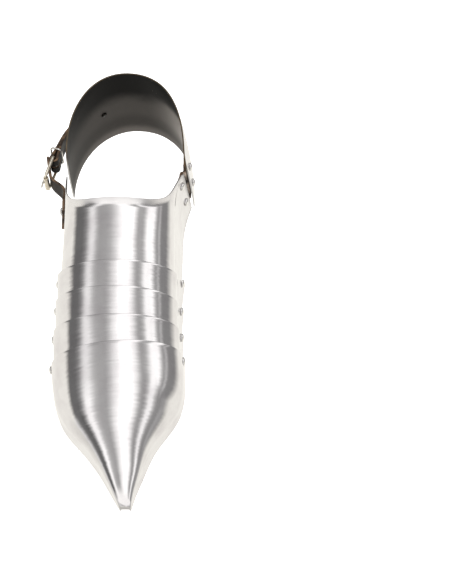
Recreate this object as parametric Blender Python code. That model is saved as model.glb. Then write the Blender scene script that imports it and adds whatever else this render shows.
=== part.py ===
"""A polished steel sabaton for one foot: toe cap, three lames, instep plate and heel cup.

All lengths are metres, angles are degrees, +Z is up, the toe points to -Y.  "Along" is the distance
from the toe tip towards the heel, "outer" is the buckle side (-X) and "inner" the leather hinge side.
"""
import math
from collections import namedtuple

import bpy
import bmesh
from mathutils import Matrix, Vector

# Driving sizes of the whole sabaton
FOOT_LENGTH = 0.372
BALL_WIDTH = 0.110
INSTEP_HEIGHT = 0.100
STEEL = 0.0012
CLEARANCE = 0.0003

# The tunnel over the foot
WALL_LEAN = 0.11
ARCH_POWER = 2.1
ARCH_SHARE = 0.68

# The lames and their rivets
RIVET_LEVEL = 0.015
EAR_REACH = 0.0085
CROWN_OVERLAP = 0.012
EDGE_SWEEP_POWER = 2.5
SHINGLE_RISE = 0.0030
TOE_RISE_LENGTH = 0.046
NOSE_LENGTH = 0.006
NOSE_LIP_SHARE = 0.35

# The instep plate's rear edge
RIM_CROWN_ALONG = 0.231
HORN_ALONG_OUTER = 0.284
HORN_ALONG_INNER = 0.287
HORN_SHARE = 0.70
RIM_POWER = 2.8
LIP_LENGTH = 0.0065
LIP_RISE = 0.0042
HORN_LIP_SHARE = 0.15

# The heel cup
CUP_CENTRE_ALONG = 0.300
CUP_FLOOR_HALF_WIDTH = 0.0544
CUP_FLOOR_SHIFT = -0.0035
CUP_TOP_HALF_WIDTH = 0.0490
CUP_TOP_SHIFT = -0.0080
CUP_TOP_LEAN = 0.0040
CUP_REAR_HEIGHT = 0.088
CUP_RIM_POWER = 1.6
CUP_FRONT_HEIGHT = 0.070
CUP_BULGE = 0.0015
CUP_CORNER_RADIUS = 0.010
CUP_LEG_OUTER = 0.003
CUP_LEG_INNER = 0.010
CUP_POWER_OUTER = 2.0
CUP_POWER_INNER = 2.2

# Rivets
RIVET_HEAD_RADIUS = 0.0036
RIVET_HEAD_HEIGHT = 0.0019
RIVET_SHANK_RADIUS = 0.0015
RIVET_TAIL_RADIUS = 0.0027
RIVET_TAIL_HEIGHT = 0.0009
RIVET_SIDES = 10
DRILL_DEPTH = 0.009

# The leather hinge
LEATHER = 0.0024
HINGE_FRONT_ALONG = 0.270
HINGE_REAR_ALONG = 0.308
HINGE_BOTTOM = 0.012
HINGE_TOP = 0.054
HINGE_SLACK = 0.0009
HINGE_RIVET_INSET_ALONG = 0.0085
HINGE_RIVET_INSET_UP = 0.009
HINGE_BRIDGE = 0.002

# The straps
STRAP_WIDTH = 0.018
STRAP = 0.0022
STRAP_LEVEL = 0.037
BILLET_FRONT_ALONG = 0.244
BILLET_RIVET_ALONG = 0.258
BILLET_LEAVES_ALONG = 0.276
ANCHOR_ANGLE = 20.0
ANCHOR_RIVET_ANGLE = 29.0
ANCHOR_LEAVES_ANGLE = 38.0
BILLET_TAIL = 0.0015
SWAY_STANDOFF = 0.0112
SWAY_ALONG = 0.3390
SWAY_TURN = 28.0
FOLD_LENGTH = 0.0085
SLOT_REACH = 0.0050

# The buckle
BUCKLE_LENGTH = 0.0215
BUCKLE_WIRE = 0.0013
BUCKLE_CORNER_RADIUS = 0.0030
BUCKLE_MARGIN = 0.0012
HEEL_BAR_ALONG = 0.3085
HEEL_BAR_STANDOFF = 0.0133
ROLLER_BAR_STANDOFF = 0.01265
ROLLER_RADIUS = 0.0023
ROLLER_SLACK = 0.0016
PRONG_RADIUS = 0.0009
PRONG_OVERHANG = 0.0060
KEEPER_WIRE = 0.0008
KEEPER_ROOM = 0.0022
KEEPER_SLACK = 0.0008
KEEPER_CORNER_RADIUS = 0.0022

Station = namedtuple("Station", "along outer inner crown spring")
Joint = namedtuple("Joint", "crown outer_rivet inner_rivet")
Finish = namedtuple("Finish", "colour metallic roughness")

# Sections of the tunnel: along as a share of the foot's length, the floor outline's reach to each
# side as a share of the ball's width, crown and spring heights as shares of the instep's height
STATIONS = [
    Station(0.000, 0.045, 0.036, 0.070, 0.052),
    Station(0.032, 0.110, 0.067, 0.145, 0.100),
    Station(0.070, 0.184, 0.114, 0.216, 0.138),
    Station(0.108, 0.272, 0.162, 0.286, 0.150),
    Station(0.140, 0.362, 0.216, 0.345, 0.147),
    Station(0.172, 0.455, 0.290, 0.400, 0.130),
    Station(0.204, 0.516, 0.357, 0.453, 0.110),
    Station(0.242, 0.553, 0.396, 0.509, 0.098),
    Station(0.285, 0.571, 0.400, 0.566, 0.115),
    Station(0.333, 0.577, 0.384, 0.630, 0.175),
    Station(0.403, 0.575, 0.368, 0.722, 0.272),
    Station(0.511, 0.570, 0.364, 0.861, 0.385),
    Station(0.624, 0.568, 0.374, 0.985, 0.490),
    Station(0.712, 0.577, 0.390, 1.030, 0.545),
    Station(0.780, 0.585, 0.450, 1.060, 0.570),
]

# The four riveted joints, front of the instep first: the crown of the upper edge and each rivet,
# as shares of the foot's length
JOINTS = [
    Joint(0.489, 0.532, 0.536),
    Joint(0.435, 0.462, 0.462),
    Joint(0.377, 0.389, 0.395),
    Joint(0.322, 0.314, 0.335),
]

POLISHED_STEEL = Finish((0.62, 0.62, 0.64, 1.0), 1.0, 0.22)
BLACK_LEATHER = Finish((0.030, 0.026, 0.024, 1.0), 0.0, 0.55)
BUCKLE_METAL = Finish((0.55, 0.53, 0.50, 1.0), 1.0, 0.30)
ROLLER_BRASS = Finish((0.72, 0.62, 0.45, 1.0), 1.0, 0.25)


class Spline:
    """A natural cubic spline through (x, y) points, for values that change smoothly along the foot."""

    def __init__(self, xs, ys):
        self.xs = list(xs)
        self.ys = list(ys)
        count = len(self.xs)
        lower = [0.0] * count
        scaled = [0.0] * count
        for i in range(1, count - 1):
            before = self.xs[i] - self.xs[i - 1]
            after = self.xs[i + 1] - self.xs[i]
            rise = (self.ys[i + 1] - self.ys[i]) / after - (self.ys[i] - self.ys[i - 1]) / before
            pivot = 2.0 * (before + after) - before * lower[i - 1]
            lower[i] = after / pivot
            scaled[i] = (6.0 * rise - before * scaled[i - 1]) / pivot
        self.bends = [0.0] * count
        for i in range(count - 2, 0, -1):
            self.bends[i] = scaled[i] - lower[i] * self.bends[i + 1]

    def __call__(self, x):
        x = min(max(x, self.xs[0]), self.xs[-1])
        i = 0
        while i < len(self.xs) - 2 and x > self.xs[i + 1]:
            i += 1
        step = self.xs[i + 1] - self.xs[i]
        a = (self.xs[i + 1] - x) / step
        b = (x - self.xs[i]) / step
        bend = (a**3 - a) * self.bends[i] + (b**3 - b) * self.bends[i + 1]
        return a * self.ys[i] + b * self.ys[i + 1] + bend * step * step / 6.0


def station_spline(column, unit):
    alongs = [row.along * FOOT_LENGTH for row in STATIONS]
    return Spline(alongs, [getattr(row, column) * unit for row in STATIONS])


OUTER_AT = station_spline("outer", BALL_WIDTH)
INNER_AT = station_spline("inner", BALL_WIDTH)
CROWN_AT = station_spline("crown", INSTEP_HEIGHT)
SPRING_AT = station_spline("spring", INSTEP_HEIGHT)


def nose_share(along):
    """The toe's end is rounded down to a low lip: the share of the full height that is left there."""
    if along >= NOSE_LENGTH:
        return 1.0
    back = 1.0 - max(along, 0.0) / NOSE_LENGTH
    return NOSE_LIP_SHARE + (1.0 - NOSE_LIP_SHARE) * math.sqrt(1.0 - back * back)


def tunnel_point(along, girth):
    """A point of the tunnel's skin; girth runs from -1 at the outer floor edge over 0 at the crown to 1."""
    nose = nose_share(along)
    spring = SPRING_AT(along) * nose
    crown = CROWN_AT(along) * nose
    lean = WALL_LEAN * spring
    outer = -OUTER_AT(along)
    inner = INNER_AT(along)
    centre = (outer + inner) / 2.0
    half = (inner - outer) / 2.0 - lean
    side = math.copysign(1.0, girth)
    share = abs(girth)
    if share <= ARCH_SHARE:
        angle = math.radians(90.0) * share / ARCH_SHARE
        across = half * math.sin(angle) ** (2.0 / ARCH_POWER)
        height = spring + (crown - spring) * max(math.cos(angle), 0.0) ** (2.0 / ARCH_POWER)
    else:
        down = (share - ARCH_SHARE) / (1.0 - ARCH_SHARE)
        across = half + lean * down
        height = spring * (1.0 - down)
    return Vector((centre + side * across, along, height))


def tunnel_normal(along, girth):
    """The unit normal of the tunnel's skin, pointing out of the foot."""
    step_along = 0.0005
    step_girth = 0.002
    ahead = tunnel_point(along + step_along, girth) - tunnel_point(along - step_along, girth)
    round_foot = tunnel_point(along, min(girth + step_girth, 1.0))
    round_foot -= tunnel_point(along, max(girth - step_girth, -1.0))
    return round_foot.cross(ahead).normalized()


def girth_at_level(along, level, side):
    """The girth value where the side wall is at a given height."""
    down = 1.0 - level / SPRING_AT(along)
    return side * (ARCH_SHARE + (1.0 - ARCH_SHARE) * down)


def sideways(girth):
    """How far to one side of the crown a girth value lies, from -1 to 1."""
    share = min(abs(girth) / ARCH_SHARE, 1.0)
    return math.copysign(math.sin(math.radians(90.0) * share), girth)


def joint_edge(joint, girth, over):
    """Along of an edge at a joint: the visible upper edge if over, else the hidden edge below it."""
    mean_rivet = (joint.outer_rivet + joint.inner_rivet) / 2.0 * FOOT_LENGTH
    skew = (joint.inner_rivet - joint.outer_rivet) / 2.0 * FOOT_LENGTH
    if over:
        crown = joint.crown * FOOT_LENGTH
        ear = mean_rivet + EAR_REACH
    else:
        crown = joint.crown * FOOT_LENGTH - CROWN_OVERLAP
        ear = mean_rivet - EAR_REACH
    return crown + (ear - crown) * abs(girth) ** EDGE_SWEEP_POWER + skew * sideways(girth)


def rim_edge(girth):
    """Along of the instep plate's rear edge: low over the instep, back to a horn at each ankle."""
    horn = HORN_ALONG_OUTER if girth < 0 else HORN_ALONG_INNER
    share = min(abs(girth) / HORN_SHARE, 1.0)
    return RIM_CROWN_ALONG + (horn - RIM_CROWN_ALONG) * share**RIM_POWER


def smooth(share):
    share = min(max(share, 0.0), 1.0)
    return share * share * (3.0 - 2.0 * share)


def lip_lift(along, girth):
    """How far the instep plate's rear lip is turned out from the tunnel's skin."""
    behind = along - (rim_edge(girth) - LIP_LENGTH)
    if behind <= 0.0 or abs(girth) > HORN_SHARE:
        return 0.0
    fade = 1.0 - (1.0 - HORN_LIP_SHARE) * smooth(abs(girth) / HORN_SHARE)
    return LIP_RISE * fade * (behind / LIP_LENGTH) ** 1.6


def shingle_lift(along, rear, front):
    """A lame's rear edge stands proud of the plate behind it and sinks towards its own front edge."""
    return SHINGLE_RISE * min(max((along - front) / (rear - front), 0.0), 1.0)


Plate = namedtuple("Plate", "front rear lift")


def instep_shape():
    return Plate(
        front=lambda girth: joint_edge(JOINTS[0], girth, False),
        rear=rim_edge,
        lift=lip_lift,
    )


def lame_shape(number):
    """The lame between joint number and the next joint towards the toe."""
    behind = JOINTS[number - 1]
    ahead = JOINTS[number]

    def lift(along, girth):
        return shingle_lift(along, joint_edge(behind, girth, True), joint_edge(ahead, girth, False))

    return Plate(
        front=lambda girth: joint_edge(ahead, girth, False),
        rear=lambda girth: joint_edge(behind, girth, True),
        lift=lift,
    )


def toe_shape():
    def lift(along, girth):
        rear = joint_edge(JOINTS[-1], girth, True)
        return shingle_lift(along, rear, rear - TOE_RISE_LENGTH)

    return Plate(
        front=lambda girth: 0.0,
        rear=lambda girth: joint_edge(JOINTS[-1], girth, True),
        lift=lift,
    )


def plate_point(plate, along, girth, depth):
    """A point of a plate, depth below its outer face; the floor edge stays flat on the floor."""
    skin = tunnel_point(along, girth)
    point = skin + tunnel_normal(along, girth) * (plate.lift(along, girth) - depth)
    if abs(girth) > 1.0 - 1e-6:
        point.z = 0.0
    return point


def plate_normal(plate, along, girth):
    """The unit normal of a plate's outer face, with the rise of its edges."""
    step = 0.0005
    ahead = plate_point(plate, along + step, girth, 0.0) - plate_point(plate, along - step, girth, 0.0)
    turn = 0.002
    round_foot = plate_point(plate, along, girth + turn, 0.0) - plate_point(plate, along, girth - turn, 0.0)
    return round_foot.cross(ahead).normalized()


def mesh_from(name, work):
    """Close a bmesh with its faces pointing out."""
    bmesh.ops.recalc_face_normals(work, faces=work.faces)
    mesh = bpy.data.meshes.new(name)
    work.to_mesh(mesh)
    work.free()
    return mesh


def shell_mesh(name, outer, inner):
    """A closed sheet from two equal grids of points, its outer and its inner face."""
    rows = len(outer)
    columns = len(outer[0])
    work = bmesh.new()
    top = [[work.verts.new(p) for p in row] for row in outer]
    low = [[work.verts.new(p) for p in row] for row in inner]
    for i in range(rows - 1):
        for j in range(columns - 1):
            work.faces.new((top[i][j], top[i + 1][j], top[i + 1][j + 1], top[i][j + 1]))
            work.faces.new((low[i][j + 1], low[i + 1][j + 1], low[i + 1][j], low[i][j]))
    for i in range(rows - 1):
        work.faces.new((low[i][0], low[i + 1][0], top[i + 1][0], top[i][0]))
        work.faces.new((top[i][-1], top[i + 1][-1], low[i + 1][-1], low[i][-1]))
    for j in range(columns - 1):
        work.faces.new((top[0][j], top[0][j + 1], low[0][j + 1], low[0][j]))
        work.faces.new((low[-1][j], low[-1][j + 1], top[-1][j + 1], top[-1][j]))
    return mesh_from(name, work)


def spread(low, high, count):
    return [low + (high - low) * i / count for i in range(count + 1)]


def girth_steps(arch_steps, wall_shares):
    """Girth values from the outer to the inner floor edge, with the arch evenly divided."""
    arch = spread(-ARCH_SHARE, ARCH_SHARE, arch_steps)
    walls = [ARCH_SHARE + (1.0 - ARCH_SHARE) * share for share in wall_shares]
    return [-w for w in reversed(walls)] + arch + walls


def plate_mesh(name, plate, shares, girths):
    """Loft a plate between its front and rear edges, at the given shares of its length."""
    faces = []
    for depth in (0.0, STEEL):
        grid = []
        for girth in girths:
            front = plate.front(girth)
            rear = plate.rear(girth)
            alongs = [front + (rear - front) * share for share in shares]
            grid.append([plate_point(plate, along, girth, depth) for along in alongs])
        faces.append(grid)
    return shell_mesh(name, faces[0], faces[1])


Spot = namedtuple("Spot", "place out")


def wall_spot(plate, along, level, side):
    """Where a rivet sits on a plate's side wall, on its outer face, and its outward direction."""
    girth = girth_at_level(along, level, side)
    return Spot(plate_point(plate, along, girth, 0.0), plate_normal(plate, along, girth))


def turned_mesh(name, profile, sides):
    """Turn a profile of (radius, height) pairs, top to bottom, about Z."""
    work = bmesh.new()
    rings = []
    for radius, height in profile:
        if radius == 0.0:
            rings.append([work.verts.new((0.0, 0.0, height))])
            continue
        angles = [math.tau * i / sides for i in range(sides)]
        rings.append([work.verts.new((radius * math.cos(a), radius * math.sin(a), height)) for a in angles])
    for above, below in zip(rings, rings[1:]):
        for i in range(sides):
            j = (i + 1) % sides
            if len(above) == 1:
                work.faces.new((above[0], below[i], below[j]))
            elif len(below) == 1:
                work.faces.new((above[i], below[0], above[j]))
            else:
                work.faces.new((above[i], below[i], below[j], above[j]))
    return mesh_from(name, work)


def rivet_mesh(name, grip):
    """A rivet whose domed head sits above z = 0 and whose tail closes below the grip."""
    tail = -grip - CLEARANCE
    head = CLEARANCE
    profile = [
        (0.0, head + RIVET_HEAD_HEIGHT),
        (RIVET_HEAD_RADIUS * 0.52, head + RIVET_HEAD_HEIGHT * 0.86),
        (RIVET_HEAD_RADIUS * 0.88, head + RIVET_HEAD_HEIGHT * 0.45),
        (RIVET_HEAD_RADIUS, head),
        (RIVET_SHANK_RADIUS, head),
        (RIVET_SHANK_RADIUS, tail),
        (RIVET_TAIL_RADIUS, tail),
        (RIVET_TAIL_RADIUS * 0.8, tail - RIVET_TAIL_HEIGHT),
        (0.0, tail - RIVET_TAIL_HEIGHT),
    ]
    return turned_mesh(name, profile, RIVET_SIDES)


def tube_mesh(name, path, radius, sides, closed):
    """A round wire along a path of points."""
    work = bmesh.new()
    rings = []
    count = len(path)
    across = None
    for i in range(count):
        before = path[i - 1] if closed or i > 0 else path[i]
        after = path[(i + 1) % count] if closed or i < count - 1 else path[i]
        ahead = (after - before).normalized()
        if across is None:
            across = ahead.cross(Vector((0.0, 0.0, 1.0)))
            if across.length < 0.2:
                across = ahead.cross(Vector((1.0, 0.0, 0.0)))
        across = (across - ahead * across.dot(ahead)).normalized()
        up = across.cross(ahead)
        angles = [math.tau * k / sides for k in range(sides)]
        ring = [path[i] + (across * math.cos(a) + up * math.sin(a)) * radius for a in angles]
        rings.append([work.verts.new(point) for point in ring])
    pairs = list(zip(rings, rings[1:]))
    if closed:
        pairs.append((rings[-1], rings[0]))
    else:
        work.faces.new(rings[0])
        work.faces.new(list(reversed(rings[-1])))
    for a, b in pairs:
        for k in range(sides):
            n = (k + 1) % sides
            work.faces.new((a[k], a[n], b[n], b[k]))
    return mesh_from(name, work)


def box_mesh(name, low, high):
    work = bmesh.new()
    bmesh.ops.create_cube(work, size=1.0)
    size = high - low
    bmesh.ops.scale(work, vec=size, verts=work.verts)
    bmesh.ops.translate(work, vec=(low + high) / 2.0, verts=work.verts)
    return mesh_from(name, work)


def curve_through(points, steps):
    """Points of a smooth curve through the given points, with steps between each two."""
    marks = [0.0]
    for a, b in zip(points, points[1:]):
        marks.append(marks[-1] + (b - a).length)
    axes = [Spline(marks, [p[axis] for p in points]) for axis in range(3)]
    result = []
    for low, high in zip(marks, marks[1:]):
        result += [Vector([axis(m) for axis in axes]) for m in spread(low, high, steps)[:-1]]
    return result + [points[-1].copy()]


def band_mesh(name, lows, highs, thickness):
    """A flat strap from the middle lines of its lower and its upper edge."""
    outer = []
    inner = []
    for i in range(len(lows)):
        before = max(i - 1, 0)
        after = min(i + 1, len(lows) - 1)
        ahead = (lows[after] - lows[before]).normalized() + (highs[after] - highs[before]).normalized()
        out = (highs[i] - lows[i]).cross(ahead).normalized() * (thickness / 2.0)
        outer.append([lows[i] + out, highs[i] + out])
        inner.append([lows[i] - out, highs[i] - out])
    return shell_mesh(name, outer, inner)


# The sabaton stands on the floor with its origin in the middle of its floor rectangle; every piece is
# laid out from the toe tip and moved there by one empty
for old in list(bpy.data.objects):
    bpy.data.objects.remove(old, do_unlink=True)

sabaton = bpy.data.objects.new("sabaton", None)
bpy.context.scene.collection.objects.link(sabaton)
origins = {sabaton: Vector((0.0, 0.0, 0.0))}
corners = []


def give_finish(mesh, name, finish):
    material = bpy.data.materials.new(name)
    material.use_nodes = True
    shader = material.node_tree.nodes["Principled BSDF"]
    shader.inputs["Base Color"].default_value = finish.colour
    shader.inputs["Metallic"].default_value = finish.metallic
    shader.inputs["Roughness"].default_value = finish.roughness
    mesh.materials.append(material)
    mesh.shade_smooth()
    mesh.set_sharp_from_angle(angle=math.radians(40.0))


def add_piece(mesh, finish, parent, origin):
    """Link a piece whose mesh is laid out from the toe tip, with its own origin where it turns."""
    corners.extend(v.co.copy() for v in mesh.vertices)
    mesh.transform(Matrix.Translation(-origin))
    give_finish(mesh, mesh.name, finish)
    obj = bpy.data.objects.new(mesh.name, mesh)
    bpy.context.scene.collection.objects.link(obj)
    obj.parent = parent
    obj.location = origin - origins[parent]
    origins[obj] = origin
    return obj


def add_rivet(name, spot, grip, parent):
    obj = bpy.data.objects.new(name, rivet_mesh(name, grip))
    bpy.context.scene.collection.objects.link(obj)
    give_finish(obj.data, name, POLISHED_STEEL)
    obj.parent = parent
    obj.location = spot.place - origins[parent]
    obj.rotation_euler = spot.out.to_track_quat("Z", "Y").to_euler()
    return obj


def cut_with(obj, mesh, place, turn):
    """Cut a shape out of a piece; the cutter itself isn't part of the sabaton."""
    cutter = bpy.data.objects.new(mesh.name, mesh)
    bpy.context.scene.collection.objects.link(cutter)
    cutter.parent = obj
    cutter.location = place - origins[obj]
    cutter.rotation_euler = turn
    cutter.hide_render = True
    cutter.display_type = "WIRE"
    cut = obj.modifiers.new(mesh.name, "BOOLEAN")
    cut.operation = "DIFFERENCE"
    cut.object = cutter


def drill(obj, spot):
    """Cut a rivet's hole through a piece at a spot, along its outward direction."""
    radius = RIVET_SHANK_RADIUS + CLEARANCE
    depth = DRILL_DEPTH
    name = f"{obj.name}_drill_{len(obj.modifiers) + 1}"
    profile = [(0.0, depth), (radius, depth), (radius, -depth), (0.0, -depth)]
    turn = spot.out.to_track_quat("Z", "Y").to_euler()
    cut_with(obj, turned_mesh(name, profile, RIVET_SIDES), spot.place, turn)


# Plates of the foot, each parented to the plate behind it and turning about its rear rivets
GIRTHS = girth_steps(16, (0.35, 0.7, 1.0))
INSTEP_SHARES = (0.0, 0.12, 0.25, 0.4, 0.55, 0.7, 0.82, 0.89, 0.925, 0.95, 0.975, 1.0)
LAME_SHARES = (0.0, 0.25, 0.5, 0.75, 1.0)
TOE_SHARES = (0.0, 0.005, 0.013, 0.025, 0.045, 0.08, 0.13, 0.19, 0.26, 0.34, 0.43, 0.53, 0.65, 0.8, 1.0)

plates = [instep_shape(), lame_shape(1), lame_shape(2), lame_shape(3), toe_shape()]
plate_names = ["instep_plate", "lame_1", "lame_2", "lame_3", "toe_cap"]
plate_shares = [INSTEP_SHARES, LAME_SHARES, LAME_SHARES, LAME_SHARES, TOE_SHARES]

plate_objects = []
for number, plate in enumerate(plates):
    mesh = plate_mesh(plate_names[number], plate, plate_shares[number], GIRTHS)
    if number == 0:
        plate_objects.append(add_piece(mesh, POLISHED_STEEL, sabaton, Vector((0.0, 0.0, 0.0))))
        continue
    joint = JOINTS[number - 1]
    spots = []
    for side, rivet in ((-1.0, joint.outer_rivet), (1.0, joint.inner_rivet)):
        spots.append(wall_spot(plate, rivet * FOOT_LENGTH, RIVET_LEVEL, side))
    pivot = (spots[0].place + spots[1].place) / 2.0
    obj = add_piece(mesh, POLISHED_STEEL, plate_objects[-1], pivot)
    behind = plates[number - 1]
    for spot, side, word in ((spots[0], -1.0, "outer"), (spots[1], 1.0, "inner")):
        along = spot.place.y
        girth = girth_at_level(along, RIVET_LEVEL, side)
        grip = plate.lift(along, girth) - behind.lift(along, girth) + STEEL
        add_rivet(f"pivot_rivet_{number}_{word}", spot, grip, plate_objects[-1])
        drill(obj, spot)
        drill(plate_objects[-1], spot)
    plate_objects.append(obj)
instep = plate_objects[0]


# Heel cup: a U of steel round the heel, open at the top and the front
def cup_rim(forward, from_edge):
    """Height of the cup's rim: falls from the rear to the front, with rounded front corners."""
    height = CUP_REAR_HEIGHT + (CUP_FRONT_HEIGHT - CUP_REAR_HEIGHT) * forward**CUP_RIM_POWER
    if from_edge < CUP_CORNER_RADIUS:
        inside = CUP_CORNER_RADIUS - from_edge
        height -= CUP_CORNER_RADIUS - math.sqrt(CUP_CORNER_RADIUS**2 - inside**2)
    return height


def cup_plan(turn, leg, level):
    """A point of the cup's outer face: turn in degrees from the rear, then leg straight forward."""
    rise = level / CUP_REAR_HEIGHT
    half = CUP_FLOOR_HALF_WIDTH + (CUP_TOP_HALF_WIDTH - CUP_FLOOR_HALF_WIDTH) * rise
    shift = CUP_FLOOR_SHIFT + (CUP_TOP_SHIFT - CUP_FLOOR_SHIFT) * rise
    depth = FOOT_LENGTH - CUP_CENTRE_ALONG - CUP_TOP_LEAN * rise
    bulge = CUP_BULGE * math.sin(math.pi * rise)
    power = CUP_POWER_OUTER if turn < 0 else CUP_POWER_INNER
    angle = math.radians(abs(turn))
    across = math.copysign(math.sin(angle) ** (2.0 / power), turn) * (half + bulge)
    back = max(math.cos(angle), 0.0) ** (2.0 / power) * (depth + bulge)
    return Vector((shift + across, CUP_CENTRE_ALONG + back - leg, level))


def cup_normal(turn, leg, level):
    step = 0.5
    high = min(turn + step, 90.0)
    low = max(turn - step, -90.0)
    round_heel = cup_plan(high, 0.0, level) - cup_plan(low, 0.0, level)
    upward = cup_plan(turn, leg, level + 0.0005) - cup_plan(turn, leg, level - 0.0005)
    return upward.cross(round_heel).normalized()


def cup_point(turn, leg, level, depth):
    point = cup_plan(turn, leg, level) - cup_normal(turn, leg, level) * depth
    if level == 0.0:
        point.z = 0.0
    return point


def cup_arm(side, leg, turn_steps):
    """Marks (turn, leg, distance behind the front edge) from the rear to one front edge."""
    marks = [(side * turn, 0.0) for turn in spread(0.0, 90.0, turn_steps)]
    marks += [(side * 90.0, leg * share) for share in (0.5, 1.0)]
    edge = CUP_CENTRE_ALONG - leg
    return [(turn, out, max(cup_plan(turn, out, 0.0).y - edge, 0.0)) for turn, out in marks]


def cup_mesh(name, turn_steps, level_steps):
    outer_arm = cup_arm(-1.0, CUP_LEG_OUTER, turn_steps)
    inner_arm = cup_arm(1.0, CUP_LEG_INNER, turn_steps)
    faces = []
    for depth in (0.0, STEEL):
        grid = []
        for turn, leg, from_edge in list(reversed(outer_arm)) + inner_arm[1:]:
            forward = 1.0 - min(from_edge / (FOOT_LENGTH - CUP_CENTRE_ALONG), 1.0)
            rim = cup_rim(forward, from_edge)
            grid.append([cup_point(turn, leg, level, depth) for level in spread(0.0, rim, level_steps)])
        faces.append(grid)
    return shell_mesh(name, faces[0], faces[1])


def cup_turn_at(along, side):
    """The cup's turn and leg where its floor outline is at a given along, on one side."""
    if along <= CUP_CENTRE_ALONG:
        return side * 90.0, CUP_CENTRE_ALONG - along
    low, high = 0.0, 90.0
    for _ in range(40):
        middle = (low + high) / 2.0
        if cup_plan(side * middle, 0.0, 0.0).y > along:
            low = middle
        else:
            high = middle
    return side * low, 0.0


def cup_spot(turn, leg, level):
    return Spot(cup_plan(turn, leg, level), cup_normal(turn, leg, level))


cup = add_piece(cup_mesh("heel_cup", 12, 7), POLISHED_STEEL, sabaton, Vector((0.0, 0.0, 0.0)))


# Leather hinge on the inner side: a patch inside the instep plate and the cup, with two rivets in each
CUP_EDGE_INNER = CUP_CENTRE_ALONG - CUP_LEG_INNER


def hinge_face(along, level, depth):
    """A point of the leather, depth inside the plates' outer faces, bridging the gap between them."""

    def on_instep(at):
        girth = girth_at_level(at, level, 1.0)
        return tunnel_point(at, girth) - tunnel_normal(at, girth) * depth

    def on_cup(at):
        turn, leg = cup_turn_at(at, 1.0)
        return cup_plan(turn, leg, level) - cup_normal(turn, leg, level) * depth

    bridge = HINGE_BRIDGE
    start = HORN_ALONG_INNER - bridge
    end = CUP_EDGE_INNER + bridge
    if along <= start:
        return on_instep(along)
    if along >= end:
        return on_cup(along)
    share = smooth((along - start) / (end - start))
    return on_instep(min(along, HORN_ALONG_INNER)) * (1.0 - share) + on_cup(max(along, CUP_EDGE_INNER)) * share


def hinge_mesh(name):
    levels = spread(HINGE_BOTTOM, HINGE_TOP, 4)
    alongs = spread(HINGE_FRONT_ALONG, HINGE_REAR_ALONG, 10)
    near = STEEL + HINGE_SLACK
    outer = [[hinge_face(along, level, near) for along in alongs] for level in reversed(levels)]
    inner = [[hinge_face(along, level, near + LEATHER) for along in alongs] for level in reversed(levels)]
    return shell_mesh(name, outer, inner)


hinge = add_piece(hinge_mesh("hinge_leather"), BLACK_LEATHER, sabaton, Vector((0.0, 0.0, 0.0)))
hinge_grip = STEEL + HINGE_SLACK + LEATHER
low_level = HINGE_BOTTOM + HINGE_RIVET_INSET_UP
high_level = HINGE_TOP - HINGE_RIVET_INSET_UP
front_row = HINGE_FRONT_ALONG + HINGE_RIVET_INSET_ALONG
rear_row = HINGE_REAR_ALONG - HINGE_RIVET_INSET_ALONG
rear_turn, rear_leg = cup_turn_at(rear_row, 1.0)
hinge_spots = [
    (wall_spot(plates[0], front_row, low_level, 1.0), instep),
    (wall_spot(plates[0], front_row, high_level, 1.0), instep),
    (cup_spot(rear_turn, rear_leg, low_level), cup),
    (cup_spot(rear_turn, rear_leg, high_level), cup),
]
for number, (spot, metal) in enumerate(hinge_spots, 1):
    add_rivet(f"hinge_rivet_{number}", spot, hinge_grip, sabaton)
    drill(metal, spot)
    drill(hinge, spot)


# Buckle on the outer side: a bent wire frame, a roller on its front bar and a prong on its heel bar
def side_point(side, along, level):
    return Vector((side, along, level))


cup_wall = CUP_FLOOR_HALF_WIDTH - CUP_FLOOR_SHIFT
instep_wall = OUTER_AT(HEEL_BAR_ALONG)
heel_bar_side = -(cup_wall + HEEL_BAR_STANDOFF)
roller_bar_side = -(instep_wall + ROLLER_BAR_STANDOFF)
heel_bar = side_point(heel_bar_side, HEEL_BAR_ALONG, STRAP_LEVEL)
bar_drop = heel_bar_side - roller_bar_side
roller_along = HEEL_BAR_ALONG - math.sqrt(BUCKLE_LENGTH**2 - bar_drop**2)
roller_bar = side_point(roller_bar_side, roller_along, STRAP_LEVEL)
buckle_run = (heel_bar - roller_bar).normalized()
upright = Vector((0.0, 0.0, 1.0))
buckle_out = upright.cross(buckle_run)
frame_half_rise = STRAP_WIDTH / 2.0 + BUCKLE_MARGIN + BUCKLE_WIRE


def rounded_loop(centre, run, rise, half_run, half_rise, corner, steps):
    """A closed rounded rectangle of points about a centre, in the plane of two directions."""
    points = []
    for quarter, (sx, sy) in enumerate(((1, 1), (-1, 1), (-1, -1), (1, -1))):
        for angle in spread(0.0, 90.0, steps):
            a = math.radians(angle + 90.0 * quarter)
            x = sx * (half_run - corner) + corner * math.cos(a)
            y = sy * (half_rise - corner) + corner * math.sin(a)
            points.append(centre + run * x + rise * y)
    return points


frame_path = rounded_loop(
    (heel_bar + roller_bar) / 2.0,
    buckle_run,
    upright,
    BUCKLE_LENGTH / 2.0,
    frame_half_rise,
    BUCKLE_CORNER_RADIUS,
    3,
)
NONE = Vector((0.0, 0.0, 0.0))
add_piece(tube_mesh("buckle_frame", frame_path, BUCKLE_WIRE, 8, True), BUCKLE_METAL, sabaton, NONE)


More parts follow.
